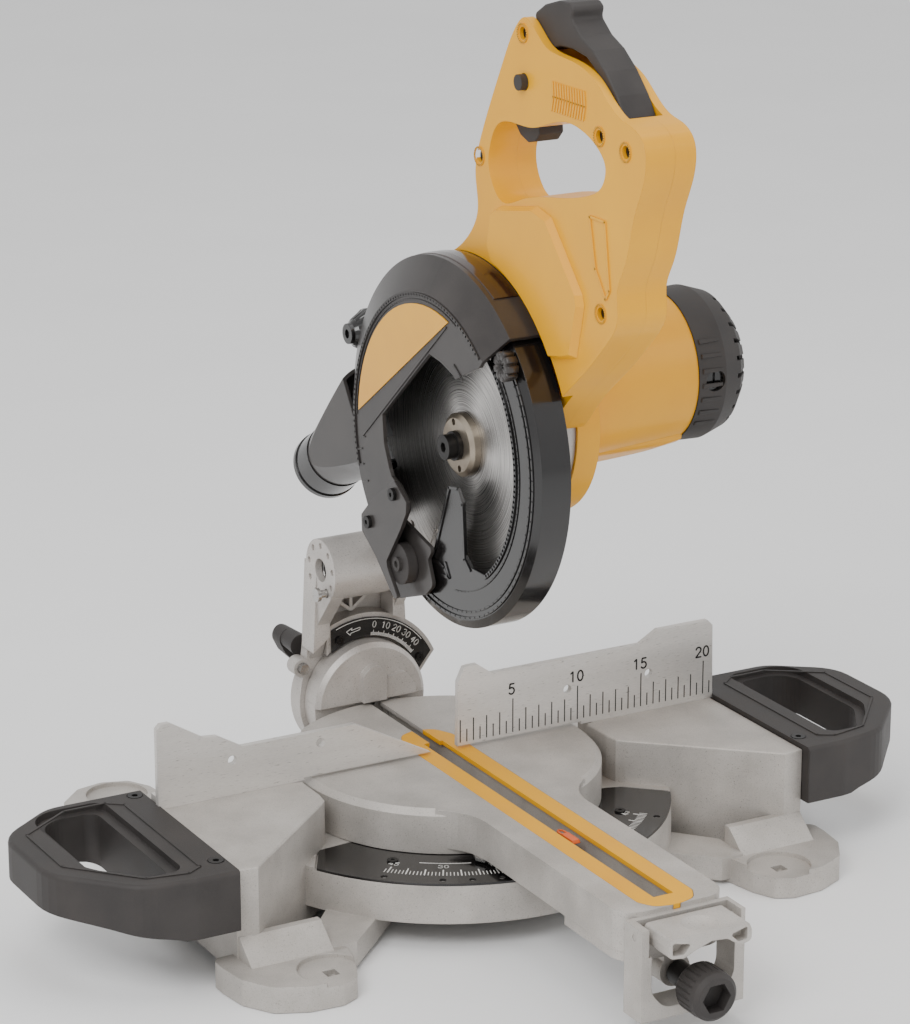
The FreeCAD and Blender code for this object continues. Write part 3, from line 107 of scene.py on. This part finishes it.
def surface(name, dark, light, metallic=0.0, rough=(0.4, 0.55), grain=1400.0, patch=35.0, height=0.00006,
            strength=0.35, coat=0.0, ior=1.45, stretch=(1, 1, 1), speckle=None, soft_edge=0.0007):
    """Body colour between two tones, slow patches, fine grain in roughness and relief, soft edges."""
    m, t, s = new_material(name)
    s.inputs["IOR"].default_value = ior
    s.inputs["Coat Weight"].default_value = coat
    s.inputs["Coat Roughness"].default_value = 0.12
    s.inputs["Metallic"].default_value = metallic
    co = coords(t, stretch)
    slow = noise(t, co, patch, 3.0)
    fine = noise(t, co, grain, 5.0, 0.65)
    mix = t.nodes.new("ShaderNodeMath")
    mix.operation = "MULTIPLY_ADD"
    mix.inputs[1].default_value = 0.45
    t.links.new(fine, mix.inputs[0])
    half = t.nodes.new("ShaderNodeMath")
    half.operation = "MULTIPLY"
    half.inputs[1].default_value = 0.55
    t.links.new(slow, half.inputs[0])
    t.links.new(half.outputs[0], mix.inputs[2])
    tone = ramp(t, mix.outputs[0], [(0.36, dark), (0.64, light)])
    if speckle:
        v = noise(t, co, speckle[0], 2.0, 0.8)
        spots = ramp(t, v, [(speckle[2], grey(0.0)), (speckle[3], grey(1.0))])
        blend = t.nodes.new("ShaderNodeMix")
        blend.data_type = "RGBA"
        t.links.new(spots, blend.inputs["Factor"])
        t.links.new(tone, blend.inputs["A"])
        blend.inputs["B"].default_value = speckle[1]
        tone = blend.outputs["Result"]
    t.links.new(tone, s.inputs["Base Color"])
    t.links.new(ramp(t, mix.outputs[0], [(0.3, grey(rough[0])), (0.7, grey(rough[1]))]), s.inputs["Roughness"])
    below = None
    if soft_edge:
        e = t.nodes.new("ShaderNodeBevel")
        e.samples = 4
        e.inputs["Radius"].default_value = soft_edge
        below = e.outputs["Normal"]
    bump(t, s, fine, strength, height, below)
    return m


CAST = surface("cast_aluminium", lin((172, 167, 161)), lin((200, 195, 189)), 0.4, (0.42, 0.62), 1500, 30, 0.00022, 0.55,
               speckle=(1000.0, lin((128, 123, 117)), 0.60, 0.74))
CAST_HEAD = surface("cast_head", lin((180, 175, 170)), lin((208, 203, 198)), 0.45, (0.38, 0.56), 1300, 30, 0.00018, 0.5,
                    speckle=(900.0, lin((136, 131, 126)), 0.60, 0.75))
MACHINED = surface("machined_face", lin((200, 196, 191)), lin((224, 220, 215)), 0.5, (0.34, 0.48), 1800, 40, 0.00012, 0.4,
                   stretch=(0.12, 1, 1), speckle=(1100.0, lin((120, 115, 110)), 0.62, 0.74))
YELLOW = surface("yellow_shell", lin((228, 160, 0)), lin((238, 172, 0)), 0.0, (0.34, 0.46), 2600, 18, 0.00008, 0.35, coat=0.12)
YELLOW_INSERT = surface("yellow_insert", lin((228, 160, 1)), lin((238, 173, 2)), 0.0, (0.40, 0.55), 2200, 22, 0.0001, 0.4)
BADGE = surface("badge", lin((226, 160, 1)), lin((238, 174, 2)), 0.0, (0.26, 0.36), 2400, 20, 0.00003, 0.2, coat=0.4, soft_edge=0.0002)
DARK = surface("dark_plastic", lin((44, 41, 40)), lin((62, 58, 56)), 0.0, (0.48, 0.68), 2200, 30, 0.00016, 0.6)
GLOSS = surface("gloss_black", lin((17, 16, 16)), lin((27, 25, 25)), 0.0, (0.12, 0.24), 1200, 25, 0.00002, 0.12, coat=0.5)
PAINT = surface("dark_paint", lin((48, 45, 44)), lin((68, 64, 62)), 0.2, (0.26, 0.38), 1900, 24, 0.00007, 0.4, coat=0.15)
BROWN = surface("dark_brown", lin((38, 24, 19)), lin((52, 34, 27)), 0.0, (0.10, 0.2), 1500, 24, 0.00002, 0.15, coat=0.5)
SCREW = surface("screw_black", lin((26, 25, 25)), lin((48, 46, 45)), 0.6, (0.28, 0.42), 2400, 60, 0.00005, 0.4, soft_edge=0.0003)
STEEL = surface("steel", lin((150, 148, 146)), lin((196, 194, 191)), 0.95, (0.20, 0.34), 2400, 40, 0.00004, 0.3, stretch=(1, 0.1, 1), soft_edge=0.0004)
FLANGE = surface("flange_bronze", lin((132, 120, 106)), lin((176, 166, 150)), 0.9, (0.26, 0.4), 2600, 50, 0.00005, 0.35, soft_edge=0.0004)
COPPER = surface("copper", lin((132, 72, 44)), lin((178, 104, 66)), 0.85, (0.28, 0.42), 2000, 50, 0.00006, 0.4, stretch=(0.1, 1, 1))
BELT = surface("belt", lin((18, 18, 18)), lin((34, 33, 33)), 0.0, (0.62, 0.8), 1900, 60, 0.0002, 0.6, soft_edge=0.0002)
PRINT_DARK = surface("print_dark", lin((28, 27, 27)), lin((46, 44, 43)), 0.0, (0.46, 0.62), 2600, 80, 0.00002, 0.3, soft_edge=0.0)
PRINT_LIGHT = surface("print_light", lin((206, 204, 199)), lin((234, 232, 228)), 0.0, (0.44, 0.58), 2600, 80, 0.00002, 0.3, soft_edge=0.0)
ORANGE = surface("orange_clip", lin((214, 86, 24)), lin((236, 112, 40)), 0.0, (0.32, 0.44), 2100, 40, 0.00006, 0.35)


def radial_steel(name, centre, dark, light):
    """Ground steel: rings round the arbor, and broad fans of painted reflection, light and dark, in the base colour."""
    m, t, s = new_material(name)
    s.inputs["Metallic"].default_value = 0.95
    s.inputs["IOR"].default_value = 1.5
    s.inputs["Coat Weight"].default_value = 0.0
    c = t.nodes.new("ShaderNodeTexCoord")
    sub = t.nodes.new("ShaderNodeVectorMath")
    sub.operation = "SUBTRACT"
    sub.inputs[1].default_value = centre
    t.links.new(c.outputs["Object"], sub.inputs[0])
    sep = t.nodes.new("ShaderNodeSeparateXYZ")
    t.links.new(sub.outputs[0], sep.inputs[0])
    ang = t.nodes.new("ShaderNodeMath")
    ang.operation = "ARCTAN2"
    t.links.new(sep.outputs["Z"], ang.inputs[0])
    t.links.new(sep.outputs["Y"], ang.inputs[1])
    # Painted reflection: three broad light and dark fans round the arbor, from the angle about the centre.
    painted_reflection_fan = t.nodes.new("ShaderNodeMath")
    painted_reflection_fan.operation = "MULTIPLY"
    painted_reflection_fan.inputs[1].default_value = 3.0
    t.links.new(ang.outputs[0], painted_reflection_fan.inputs[0])
    painted_reflection_wave = t.nodes.new("ShaderNodeMath")
    painted_reflection_wave.operation = "SINE"
    t.links.new(painted_reflection_fan.outputs[0], painted_reflection_wave.inputs[0])
    ln = t.nodes.new("ShaderNodeVectorMath")
    ln.operation = "LENGTH"
    t.links.new(sub.outputs[0], ln.inputs[0])
    rings = t.nodes.new("ShaderNodeTexNoise")
    rings.noise_dimensions = "1D"
    rings.inputs["Scale"].default_value = 1600.0
    rings.inputs["Detail"].default_value = 4.0
    t.links.new(ln.outputs["Value"], rings.inputs["W"])
    a = t.nodes.new("ShaderNodeMath")
    a.operation = "MULTIPLY_ADD"
    a.inputs[1].default_value = 0.24
    t.links.new(painted_reflection_wave.outputs[0], a.inputs[0])
    t.links.new(rings.outputs["Fac"], a.inputs[2])
    # Base colour: the painted reflection fans plus the ring grain, through dark, light, dark.
    t.links.new(ramp(t, a.outputs[0], [(0.22, dark), (0.5, light), (0.82, dark)]), s.inputs["Base Color"])
    t.links.new(ramp(t, rings.outputs["Fac"], [(0.3, grey(0.24)), (0.7, grey(0.4))]), s.inputs["Roughness"])
    bump(t, s, rings.outputs["Fac"], 0.3, 0.00004)
    return m


# The blade's two tones are the dark and light of its painted reflection fans and ring grain.
BLADE = radial_steel("blade_steel", tuple(V(0, -26, 218)), lin((128, 126, 124)), lin((208, 205, 202)))


def paint(material, *names):
    for n in names:
        o = NODES[n]
        o.data.materials.clear()
        o.data.materials.append(material)


paint(CAST, "base_casting", "turntable", "detent_latch")
paint(CAST_HEAD, "trunnion", "bevel_arm", "head_casting")
paint(MACHINED, "fence_left", "fence_right")
paint(YELLOW, "housing_left", "housing_right", "motor_housing")
paint(YELLOW_INSERT, "kerf_insert")
paint(BADGE, "guard_badge")
paint(DARK, "handle_left", "handle_right", "mitre_lock_knob", "bevel_clamp_handle", "guard_roller", "motor_end_cap",
      "cable_gland", "motor_fan", "trigger", "lock_off_button", "release_lever")
paint(GLOSS, "mitre_scale_plate", "bevel_scale_plate", "dust_port", "dust_knob", "brush_caps", "switch_module", "lower_guard")
paint(PAINT, "upper_guard", "link_plate")
paint(SCREW, "scale_screws", "fence_bolts", "handle_screws", "mitre_lock_rod", "bevel_scale_screws", "link_screws",
      "housing_screws", "blade_bolt")
paint(STEEL, "pivot_bolt", "mitre_pointer", "slide_rails", "bevel_stop_screw", "pivot_shaft", "head_spring", "lock_down_pin",
      "stator", "ball_bearings", "spindle", "spindle_pulley", "inner_flange", "armature_shaft", "motor_pulley")
paint(FLANGE, "outer_flange")
paint(BLADE, "blade")
paint(COPPER, "rail_bushes", "armature_core")
paint(BELT, "drive_belt")


# ------------------------------------------------------------------ mesh tools
class Piece:
    """Collects prisms in one mesh. Points are fence-frame millimetres."""

    def __init__(self, name):
        self.name, self.bm = name, bmesh.new()

    def prism(self, outline, depth, taper=0.0):
        """outline: 3-D points of one flat face; depth: vector that raises it; taper draws the raised face in."""
        c = Vector((0, 0, 0))
        for p in outline:
            c += Vector(p)
        c /= len(outline)
        d = Vector(depth)
        low = [Vector(p) for p in outline]
        top = [p + d + (c - p) * taper for p in low]
        a = [self.bm.verts.new(V(*p)) for p in low]
        b = [self.bm.verts.new(V(*p)) for p in top]
        n = len(a)
        self.bm.faces.new(a)
        self.bm.faces.new(b[::-1])
        for i in range(n):
            self.bm.faces.new((a[i], b[i], b[(i + 1) % n], a[(i + 1) % n]))

    def stroke(self, pts, u, v, origin, width, depth, normal, closed=False):
        """A raised line of a given width along 2-D points in the plane of u and v."""
        u, v, nrm = Vector(u), Vector(v), Vector(normal)
        segs = list(zip(pts, pts[1:] + pts[:1])) if closed else list(zip(pts, pts[1:]))
        for (x0, y0), (x1, y1) in segs:
            dx, dy = x1 - x0, y1 - y0
            n = math.hypot(dx, dy)
            if n < 1e-6:
                continue
            ex, ey = dx / n * width * 0.5, dy / n * width * 0.5
            px, py = -ey, ex
            q = [(x0 - ex * 0.8, y0 - ey * 0.8), (x0 + px, y0 + py), (x1 + px, y1 + py), (x1 + ex * 0.8, y1 + ey * 0.8),
                 (x1 - px, y1 - py), (x0 - px, y0 - py)]
            face = [Vector(origin) + u * a + v * b for a, b in q]
            self.prism([tuple(p) for p in face], tuple(nrm * depth), 0.0)

    def done(self, material, body):
        bmesh.ops.recalc_face_normals(self.bm, faces=self.bm.faces)
        me = bpy.data.meshes.new(self.name)
        self.bm.to_mesh(me)
        self.bm.free()
        o = bpy.data.objects.new(self.name, me)
        bpy.context.scene.collection.objects.link(o)
        me.materials.append(material)
        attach(o, body)
        return o


def arc(cx, cy, rx, ry, a0, a1, n):
    return [(cx + rx * math.cos(math.radians(a0 + (a1 - a0) * i / n)), cy + ry * math.sin(math.radians(a0 + (a1 - a0) * i / n))) for i in range(n + 1)]


DIGITS = {
    "0": [arc(0.3, 0.5, 0.27, 0.47, 0, 360, 16)],
    "1": [[(0.12, 0.8), (0.34, 0.97), (0.34, 0.03)]],
    "2": [arc(0.3, 0.7, 0.26, 0.27, 170, -25, 8) + [(0.04, 0.03), (0.58, 0.03)]],
    "3": [arc(0.28, 0.74, 0.24, 0.23, 160, -90, 8) + arc(0.28, 0.27, 0.28, 0.25, 90, -160, 9)],
    "4": [[(0.44, 0.03), (0.44, 0.97), (0.03, 0.3), (0.6, 0.3)]],
    "5": [[(0.54, 0.97), (0.14, 0.97), (0.08, 0.55)] + arc(0.28, 0.33, 0.28, 0.3, 125, -150, 10)],
}


def number(piece, text, u, v, origin, size, width, depth, normal):
    """A number centred on origin, its baseline along u."""
    total = len(text) * 0.6 + (len(text) - 1) * 0.2
    x = -total / 2.0 * size
    for ch in text:
        for line in DIGITS[ch]:
            pts = [(x + a * size, (b - 0.5) * size) for a, b in line]
            piece.stroke(pts, u, v, origin, width, depth, normal)
        x += 0.8 * size


# ------------------------------------------------------------------ ruler on the right fence
r = Piece("fence_ruler_marks")
for i in range(2, 42):
    x = i * 5.0
    top = 28.0 if i % 10 == 0 else (20.0 if i % 2 == 0 else 13.0)
    r.stroke([(x, 4.5), (x, top)], (1, 0, 0), (0, 0, 1), (0, 0.02, 0), 0.75, 0.16, (0, -1, 0))
for n in (5, 10, 15, 20):
    number(r, str(n), (1, 0, 0), (0, 0, 1), (n * 10.0 - 1.0, 0.02, 35.0), 7.6, 1.15, 0.16, (0, -1, 0))
r.done(PRINT_DARK, "base")

# ------------------------------------------------------------------ mitre scale
r = Piece("mitre_scale_marks")
Z_PLATE = -30.02
for a in range(-50, 51):
    th = math.radians(-90.0 + a)
    if a % 5 == 0:
        r0, r1, w = 126.5, 135.0, 0.85
    else:
        r0, r1, w = 130.0, 135.0, 0.55
    if abs(a) > 46:
        continue
    e = (math.cos(th), math.sin(th), 0)
    r.stroke([(r0, 0), (r1, 0)], e, (-e[1], e[0], 0), (0, 0, Z_PLATE), w, 0.14, (0, 0, 1))
for a in (-45, -30, -15, 0, 15, 30, 45):
    th = math.radians(-90.0 + a)
    e = (math.cos(th), math.sin(th), 0)
    o = (121.0 * e[0], 121.0 * e[1], Z_PLATE)
    number(r, str(abs(a)), (-e[1], e[0], 0), (-e[0], -e[1], 0), o, 4.6, 0.7, 0.14, (0, 0, 1))
for s in (-1, 1):
    pts = [(116.0 * math.cos(math.radians(-90 + s * (21.5 + k))), 116.0 * math.sin(math.radians(-90 + s * (21.5 + k)))) for k in range(0, 17)]
    r.stroke(pts, (1, 0, 0), (0, 1, 0), (0, 0, Z_PLATE), 0.7, 0.14, (0, 0, 1))
r.done(PRINT_LIGHT, "base")

# ------------------------------------------------------------------ bevel scale
r = Piece("bevel_scale_marks")
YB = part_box("bevel_scale_plate")[0][1] / MM + 10.0 + 0.02
for a in range(-2, 46):
    th = math.radians(81.0 - a)
    e = (math.cos(th), 0, math.sin(th))
    length = 3.6 if a % 10 == 0 else (2.9 if a % 5 == 0 else 2.1)
    r.stroke([(44.4, 0), (44.4 + length, 0)], e, (-e[2], 0, e[0]), (0, YB, 0), 0.42, 0.14, (0, -1, 0))
for n in (0, 10, 20, 30, 40):
    th = math.radians(81.0 - n)
    e = (math.cos(th), 0, math.sin(th))
    number(r, str(n), (e[2], 0, -e[0]), (e[0], 0, e[2]), (52.2 * e[0], YB, 52.2 * e[2]), 4.6, 0.62, 0.14, (0, -1, 0))
band = [(56.4 * math.cos(math.radians(a)), 56.4 * math.sin(math.radians(a))) for a in range(112, 36, -2)]
r.stroke(band, (1, 0, 0), (0, 0, 1), (0, YB, 0), 0.5, 0.12, (0, -1, 0))
head_ = [(-9.0, 51.6), (-13.4, 49.4), (-10.4, 46.6), (-10.0, 48.0), (-3.0, 49.6), (-2.8, 51.2), (-9.6, 50.0)]
r.stroke(head_, (1, 0, 0), (0, 0, 1), (0, YB, 0), 0.45, 0.14, (0, -1, 0), closed=True)
r.done(PRINT_LIGHT, "bevel_arm")

# ------------------------------------------------------------------ lower guard: lip lines and direction arrow
SIDE = ((0, 1, 0), (0, 0, 1))


def side_arc(piece, x, y, z, rad, a0, a1, width, depth, n=48):
    pts = [(rad * math.cos(math.radians(a0 + (a1 - a0) * i / n)), rad * math.sin(math.radians(a0 + (a1 - a0) * i / n))) for i in range(n + 1)]
    piece.stroke(pts, (0, 1, 0), (0, 0, 1), (x, y, z), width, depth, (-1, 0, 0))


r = Piece("lower_guard_lips")
X_LG = -14.98
side_arc(r, X_LG, -26, 218, 88.2, 128, 235, 2.6, 1.0)
side_arc(r, X_LG, -26, 218, 92.6, 128, 262, 0.9, 0.6)
side_arc(r, X_LG, -26, 218, 105.6, 128, 292, 1.3, 0.7)
side_arc(r, X_LG, -26, 218, 109.4, 128, 294, 1.5, 0.9)
hook = [(-59, 146), (-52, 151.5), (-49.2, 187), (-41.6, 196), (-30.4, 194), (-12.6, 149), (2, 130)]
r.stroke([(a + 1.2, b - 1.2) if a < -45 else (a - 0.6, b - 1.4) for a, b in hook], *SIDE, (X_LG, 0, 0), 2.0, 0.9, (-1, 0, 0))
r.stroke([(-30, 133), (-24, 137), (-17, 139), (-10, 138)], *SIDE, (X_LG, 0, 0), 2.2, 0.8, (-1, 0, 0))
r.stroke([(-25.5, 141), (-31, 132.4), (-21.5, 131.5)], *SIDE, (X_LG, 0, 0), 2.0, 0.8, (-1, 0, 0))
r.done(GLOSS, "lower_guard")

# ------------------------------------------------------------------ upper guard: rim, raised arcs, front lobe, duct boss
r = Piece("upper_guard_relief")
X_UG = -27.98
side_arc(r, X_UG, -26, 218, 98.8, -20, 131, 2.2, 1.0, 72)
side_arc(r, X_UG, -26, 218, 95.6, 0, 112, 0.9, 0.55, 60)
side_arc(r, X_UG, -26, 218, 72.0, 118, 129, 1.2, 0.6, 10)
r.stroke([(62, 205), (-50, 303)], *SIDE, (X_UG, 0, 0), 1.3, 0.7, (-1, 0, 0))
for a, b in ((62, 205), (66, 196), (64, 186), (58, 176)):
    r.stroke([(a - 3, b), (a + 3, b - 2)], *SIDE, (X_UG, 0, 0), 1.1, 0.6, (-1, 0, 0))
r.done(PAINT, "head")


def lathe(name, centre, profile, material, body, lobes=0, depth=0.0, n=96):
    """Turned piece on an x axis through centre (fence y, z); profile is (x, r). Lobes cut a fluted edge."""
    bm2 = bmesh.new()
    rings = []
    for x, rad in profile:
        ring = []
        for k in range(n):
            a = 2 * math.pi * k / n
            q = rad
            if lobes and rad > 0.5:
                q = rad - depth * max(0.0, math.cos(a * lobes)) ** 2
            ring.append(bm2.verts.new(V(x, centre[0] + q * math.cos(a), centre[1] + q * math.sin(a))))
        rings.append(ring)
    for i in range(len(rings) - 1):
        for k in range(n):
            bm2.faces.new((rings[i][k], rings[i][(k + 1) % n], rings[i + 1][(k + 1) % n], rings[i + 1][k]))
    bm2.faces.new(rings[0][::-1])
    bm2.faces.new(rings[-1])
    bmesh.ops.recalc_face_normals(bm2, faces=bm2.faces)
    me2 = bpy.data.meshes.new(name)
    bm2.to_mesh(me2)
    bm2.free()
    for p in me2.polygons:
        p.use_smooth = len(p.vertices) == 4
    o2 = bpy.data.objects.new(name, me2)
    bpy.context.scene.collection.objects.link(o2)
    me2.materials.append(material)
    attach(o2, body)
    return o2


bm3 = bmesh.new()
sect = [(-14.0, 122.3), (-13.2, 123.0), (-8.0, 123.5), (-1.0, 123.5), (3.6, 123.0), (4.4, 122.3)]
cols = []
for k in range(73):
    a = math.radians(14 + 104 * k / 72.0)
    cols.append([bm3.verts.new(V(x, -26 + q * math.cos(a), 218 + q * math.sin(a))) for x, q in sect])
for k in range(72):
    for i in range(6):
        j = (i + 1) % 6
        bm3.faces.new((cols[k][i], cols[k + 1][i], cols[k + 1][j], cols[k][j]))
bm3.faces.new(cols[0])
bm3.faces.new(cols[-1][::-1])
bmesh.ops.recalc_face_normals(bm3, faces=bm3.faces)
me3 = bpy.data.meshes.new("guard_rim_band")
bm3.to_mesh(me3)
bm3.free()
rim = bpy.data.objects.new("guard_rim_band", me3)
bpy.context.scene.collection.objects.link(rim)
me3.materials.append(BROWN)
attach(rim, "head")
lathe("duct_nub", (103.5, 195), [(-12, 8.2), (-21, 8.2), (-22.2, 7.6), (-22.6, 6.8), (-22.6, 4.6), (-20.8, 3.8), (-20.8, 0.6)], GLOSS, "head")
lathe("guard_front_gear", (-112, 292), [(-17.5, 9.4), (-24.0, 9.4), (-25.0, 8.6), (-25.0, 4.4), (-23.4, 3.6), (-23.4, 0.6)], PAINT, "head", lobes=9, depth=2.2, n=144)
lathe("dust_knob_ribs", (100.8, 263.3), [(-14.0, 9.6), (-8.0, 13.2), (-5.2, 15.2), (1.2, 15.2), (1.8, 14.2), (1.8, 2.0)], GLOSS, "head", lobes=16, depth=1.0, n=160)

# ------------------------------------------------------------------ housing: raised gearcase panel, column recess outline, grip patch, six small rings
r = Piece("housing_panel")
panel = [(-47, 352), (-52, 374), (-60, 378), (-84, 382.5), (-104, 386.5), (-121, 383), (-158, 343), (-160, 336), (-152, 303), (-143, 300)]
inner = [(-26 + 127.5 * math.cos(math.radians(a)), 218 + 127.5 * math.sin(math.radians(a))) for a in range(142, 98, -4)]
r.prism([(5.05, a, b) for a, b in panel + inner], (-4.6, 0, 0), 0.055)
r.done(YELLOW, "head")
r = Piece("housing_grip_ribs")
for k in range(13):
    a = -120.0 - 3.0 * k
    r.stroke([(a, 447.5), (a - 2.0, 456), (a - 1.0, 464.5)], *SIDE, (5.05, 0, 0), 1.5, 0.8, (-1, 0, 0))
r.stroke([(-165, 392), (-172, 362), (-184, 346), (-188, 352), (-182, 392)], *SIDE, (5.05, 0, 0), 1.6, 0.9, (-1, 0, 0), closed=True)
for a, b in ((-85, 488), (-33, 404), (-70, 372), (-174, 441), (-203, 437), (-178, 336)):
    pts = [(a + 5.6 * math.cos(math.radians(q)), b + 5.6 * math.sin(math.radians(q))) for q in range(0, 360, 15)]
    r.stroke(pts, *SIDE, (5.05, 0, 0), 1.1, 0.7, (-1, 0, 0), closed=True)
r.done(YELLOW, "head")

# ------------------------------------------------------------------ motor: strip under the barrel, cap panel
r = Piece("cap_panel")
MYF, MZF = -30.0, 252.0
for k in range(7):
    a0 = math.radians(150 + 11 * k)
    e = Vector((0, math.cos(a0), math.sin(a0)))
    c = Vector((147.0, MYF, MZF)) + e * 49.6
    tan = Vector((0, -math.sin(a0), math.cos(a0)))
    r.prism([tuple(c + Vector((-5, 0, 0)) - tan * 1.6), tuple(c + Vector((11, 0, 0)) - tan * 1.2), tuple(c + Vector((11, 0, 0)) + tan * 1.2), tuple(c + Vector((-5, 0, 0)) + tan * 1.6)], tuple(e * 1.1), 0.1)
r.done(DARK, "head")

# ------------------------------------------------------------------ raised border of the handles, metal strip in the slot
for side, body in ((-1, "left"), (1, "right")):
    r = Piece("handle_border_" + body)
    edge = [(236, 20), (264, 20), (299, -4), (299, -60), (262, -101), (236, -106), (226, -100), (226, 12)]
    r.stroke([(side * a, b) for a, b in edge], (1, 0, 0), (0, 1, 0), (0, 0, 2.96), 1.6, 0.0 + 0.7, (0, 0, 1), closed=True)
    r.done(DARK, "base")
r = Piece("slot_strip")
r.prism([(-6.3, -262, -4.6), (-5.6, -262, -4.6), (-5.6, 14, -4.6), (-6.3, 14, -4.6)], (0, 0, 3.4), 0.02)
r.done(STEEL, "turntable")

r = Piece("kerf_clip")
zt = -4.2
r.prism([(-3.2, -166, zt), (2.8, -166, zt), (2.8, -151, zt), (-3.2, -151, zt)], (0, 0, 2.2), 0.14)
r.stroke([(-2, -152), (-2, -146), (0, -144), (2, -146), (2, -152)], (1, 0, 0), (0, 1, 0), (0, 0, zt + 0.6), 1.1, 1.0, (0, 0, 1))
r.done(ORANGE, "turntable")

# ------------------------------------------------------------------ light, floor, camera
floor_me = bpy.data.meshes.new("floor")
n = 24
bm = bmesh.new()
rows = []
for j in range(n + 1):
    t = j / n
    if t < 0.6:
        y, z = -4.0 + t / 0.6 * 8.0, 0.0
    else:
        a = (t - 0.6) / 0.4 * math.pi / 2
        y, z = 4.0 + 2.5 * math.sin(a), 2.5 * (1 - math.cos(a))
    rows.append([bm.verts.new((-9 + 18 * i / n, y, z - 0.0004)) for i in range(n + 1)])
for j in range(n):
    for i in range(n):
        bm.faces.new((rows[j][i], rows[j][i + 1], rows[j + 1][i + 1], rows[j + 1][i]))
bm.to_mesh(floor_me)
bm.free()
for p in floor_me.polygons:
    p.use_smooth = True
floor = bpy.data.objects.new("floor", floor_me)
bpy.context.scene.collection.objects.link(floor)
floor_me.materials.append(surface("floor_white", (0.90, 0.90, 0.90, 1), (0.93, 0.93, 0.93, 1), 0.0, (0.7, 0.85), 400, 4, 0.00005, 0.1, soft_edge=0.0))

world = bpy.data.worlds.new("studio")
bpy.context.scene.world = world
world.use_nodes = True
bg = world.node_tree.nodes["Background"]
bg.inputs["Color"].default_value = (1.0, 1.0, 1.0, 1.0)
bg.inputs["Strength"].default_value = 0.9


def area(name, place, look, size, power):
    d = bpy.data.lights.new(name, "AREA")
    d.shape = "RECTANGLE"
    d.size, d.size_y = size
    d.energy = power
    o = bpy.data.objects.new(name, d)
    bpy.context.scene.collection.objects.link(o)
    o.location = place
    o.rotation_euler = (Vector(look) - Vector(place)).to_track_quat("-Z", "Y").to_euler()
    return o


area("key", (-1.5, -1.1, 1.9), (0, -0.05, 0.25), (1.1, 1.1), 30)
area("fill", (1.9, -1.3, 1.2), (0, -0.05, 0.25), (1.4, 1.4), 9)
area("top", (0.1, 0.1, 2.3), (0, 0, 0.2), (1.8, 1.8), 12)

cam_data = bpy.data.cameras.new("camera")
cam_data.lens = 123.03
cam_data.sensor_width = 36.0
cam_data.sensor_fit = "AUTO"
cam_data.clip_start = 0.05
cam_data.clip_end = 40
cam = bpy.data.objects.new("camera", cam_data)
bpy.context.scene.collection.objects.link(cam)
right = Vector((0.8738, -0.4864, 0.0)).normalized()
back = Vector((-0.4637, -0.8330, 0.3018)).normalized()
up = back.cross(right).normalized()
right = up.cross(back).normalized()
m = Matrix((right, up, back)).transposed().to_4x4()
m.translation = Vector((-1.041, -1.891, 0.921))
cam.matrix_world = m
bpy.context.scene.camera = cam
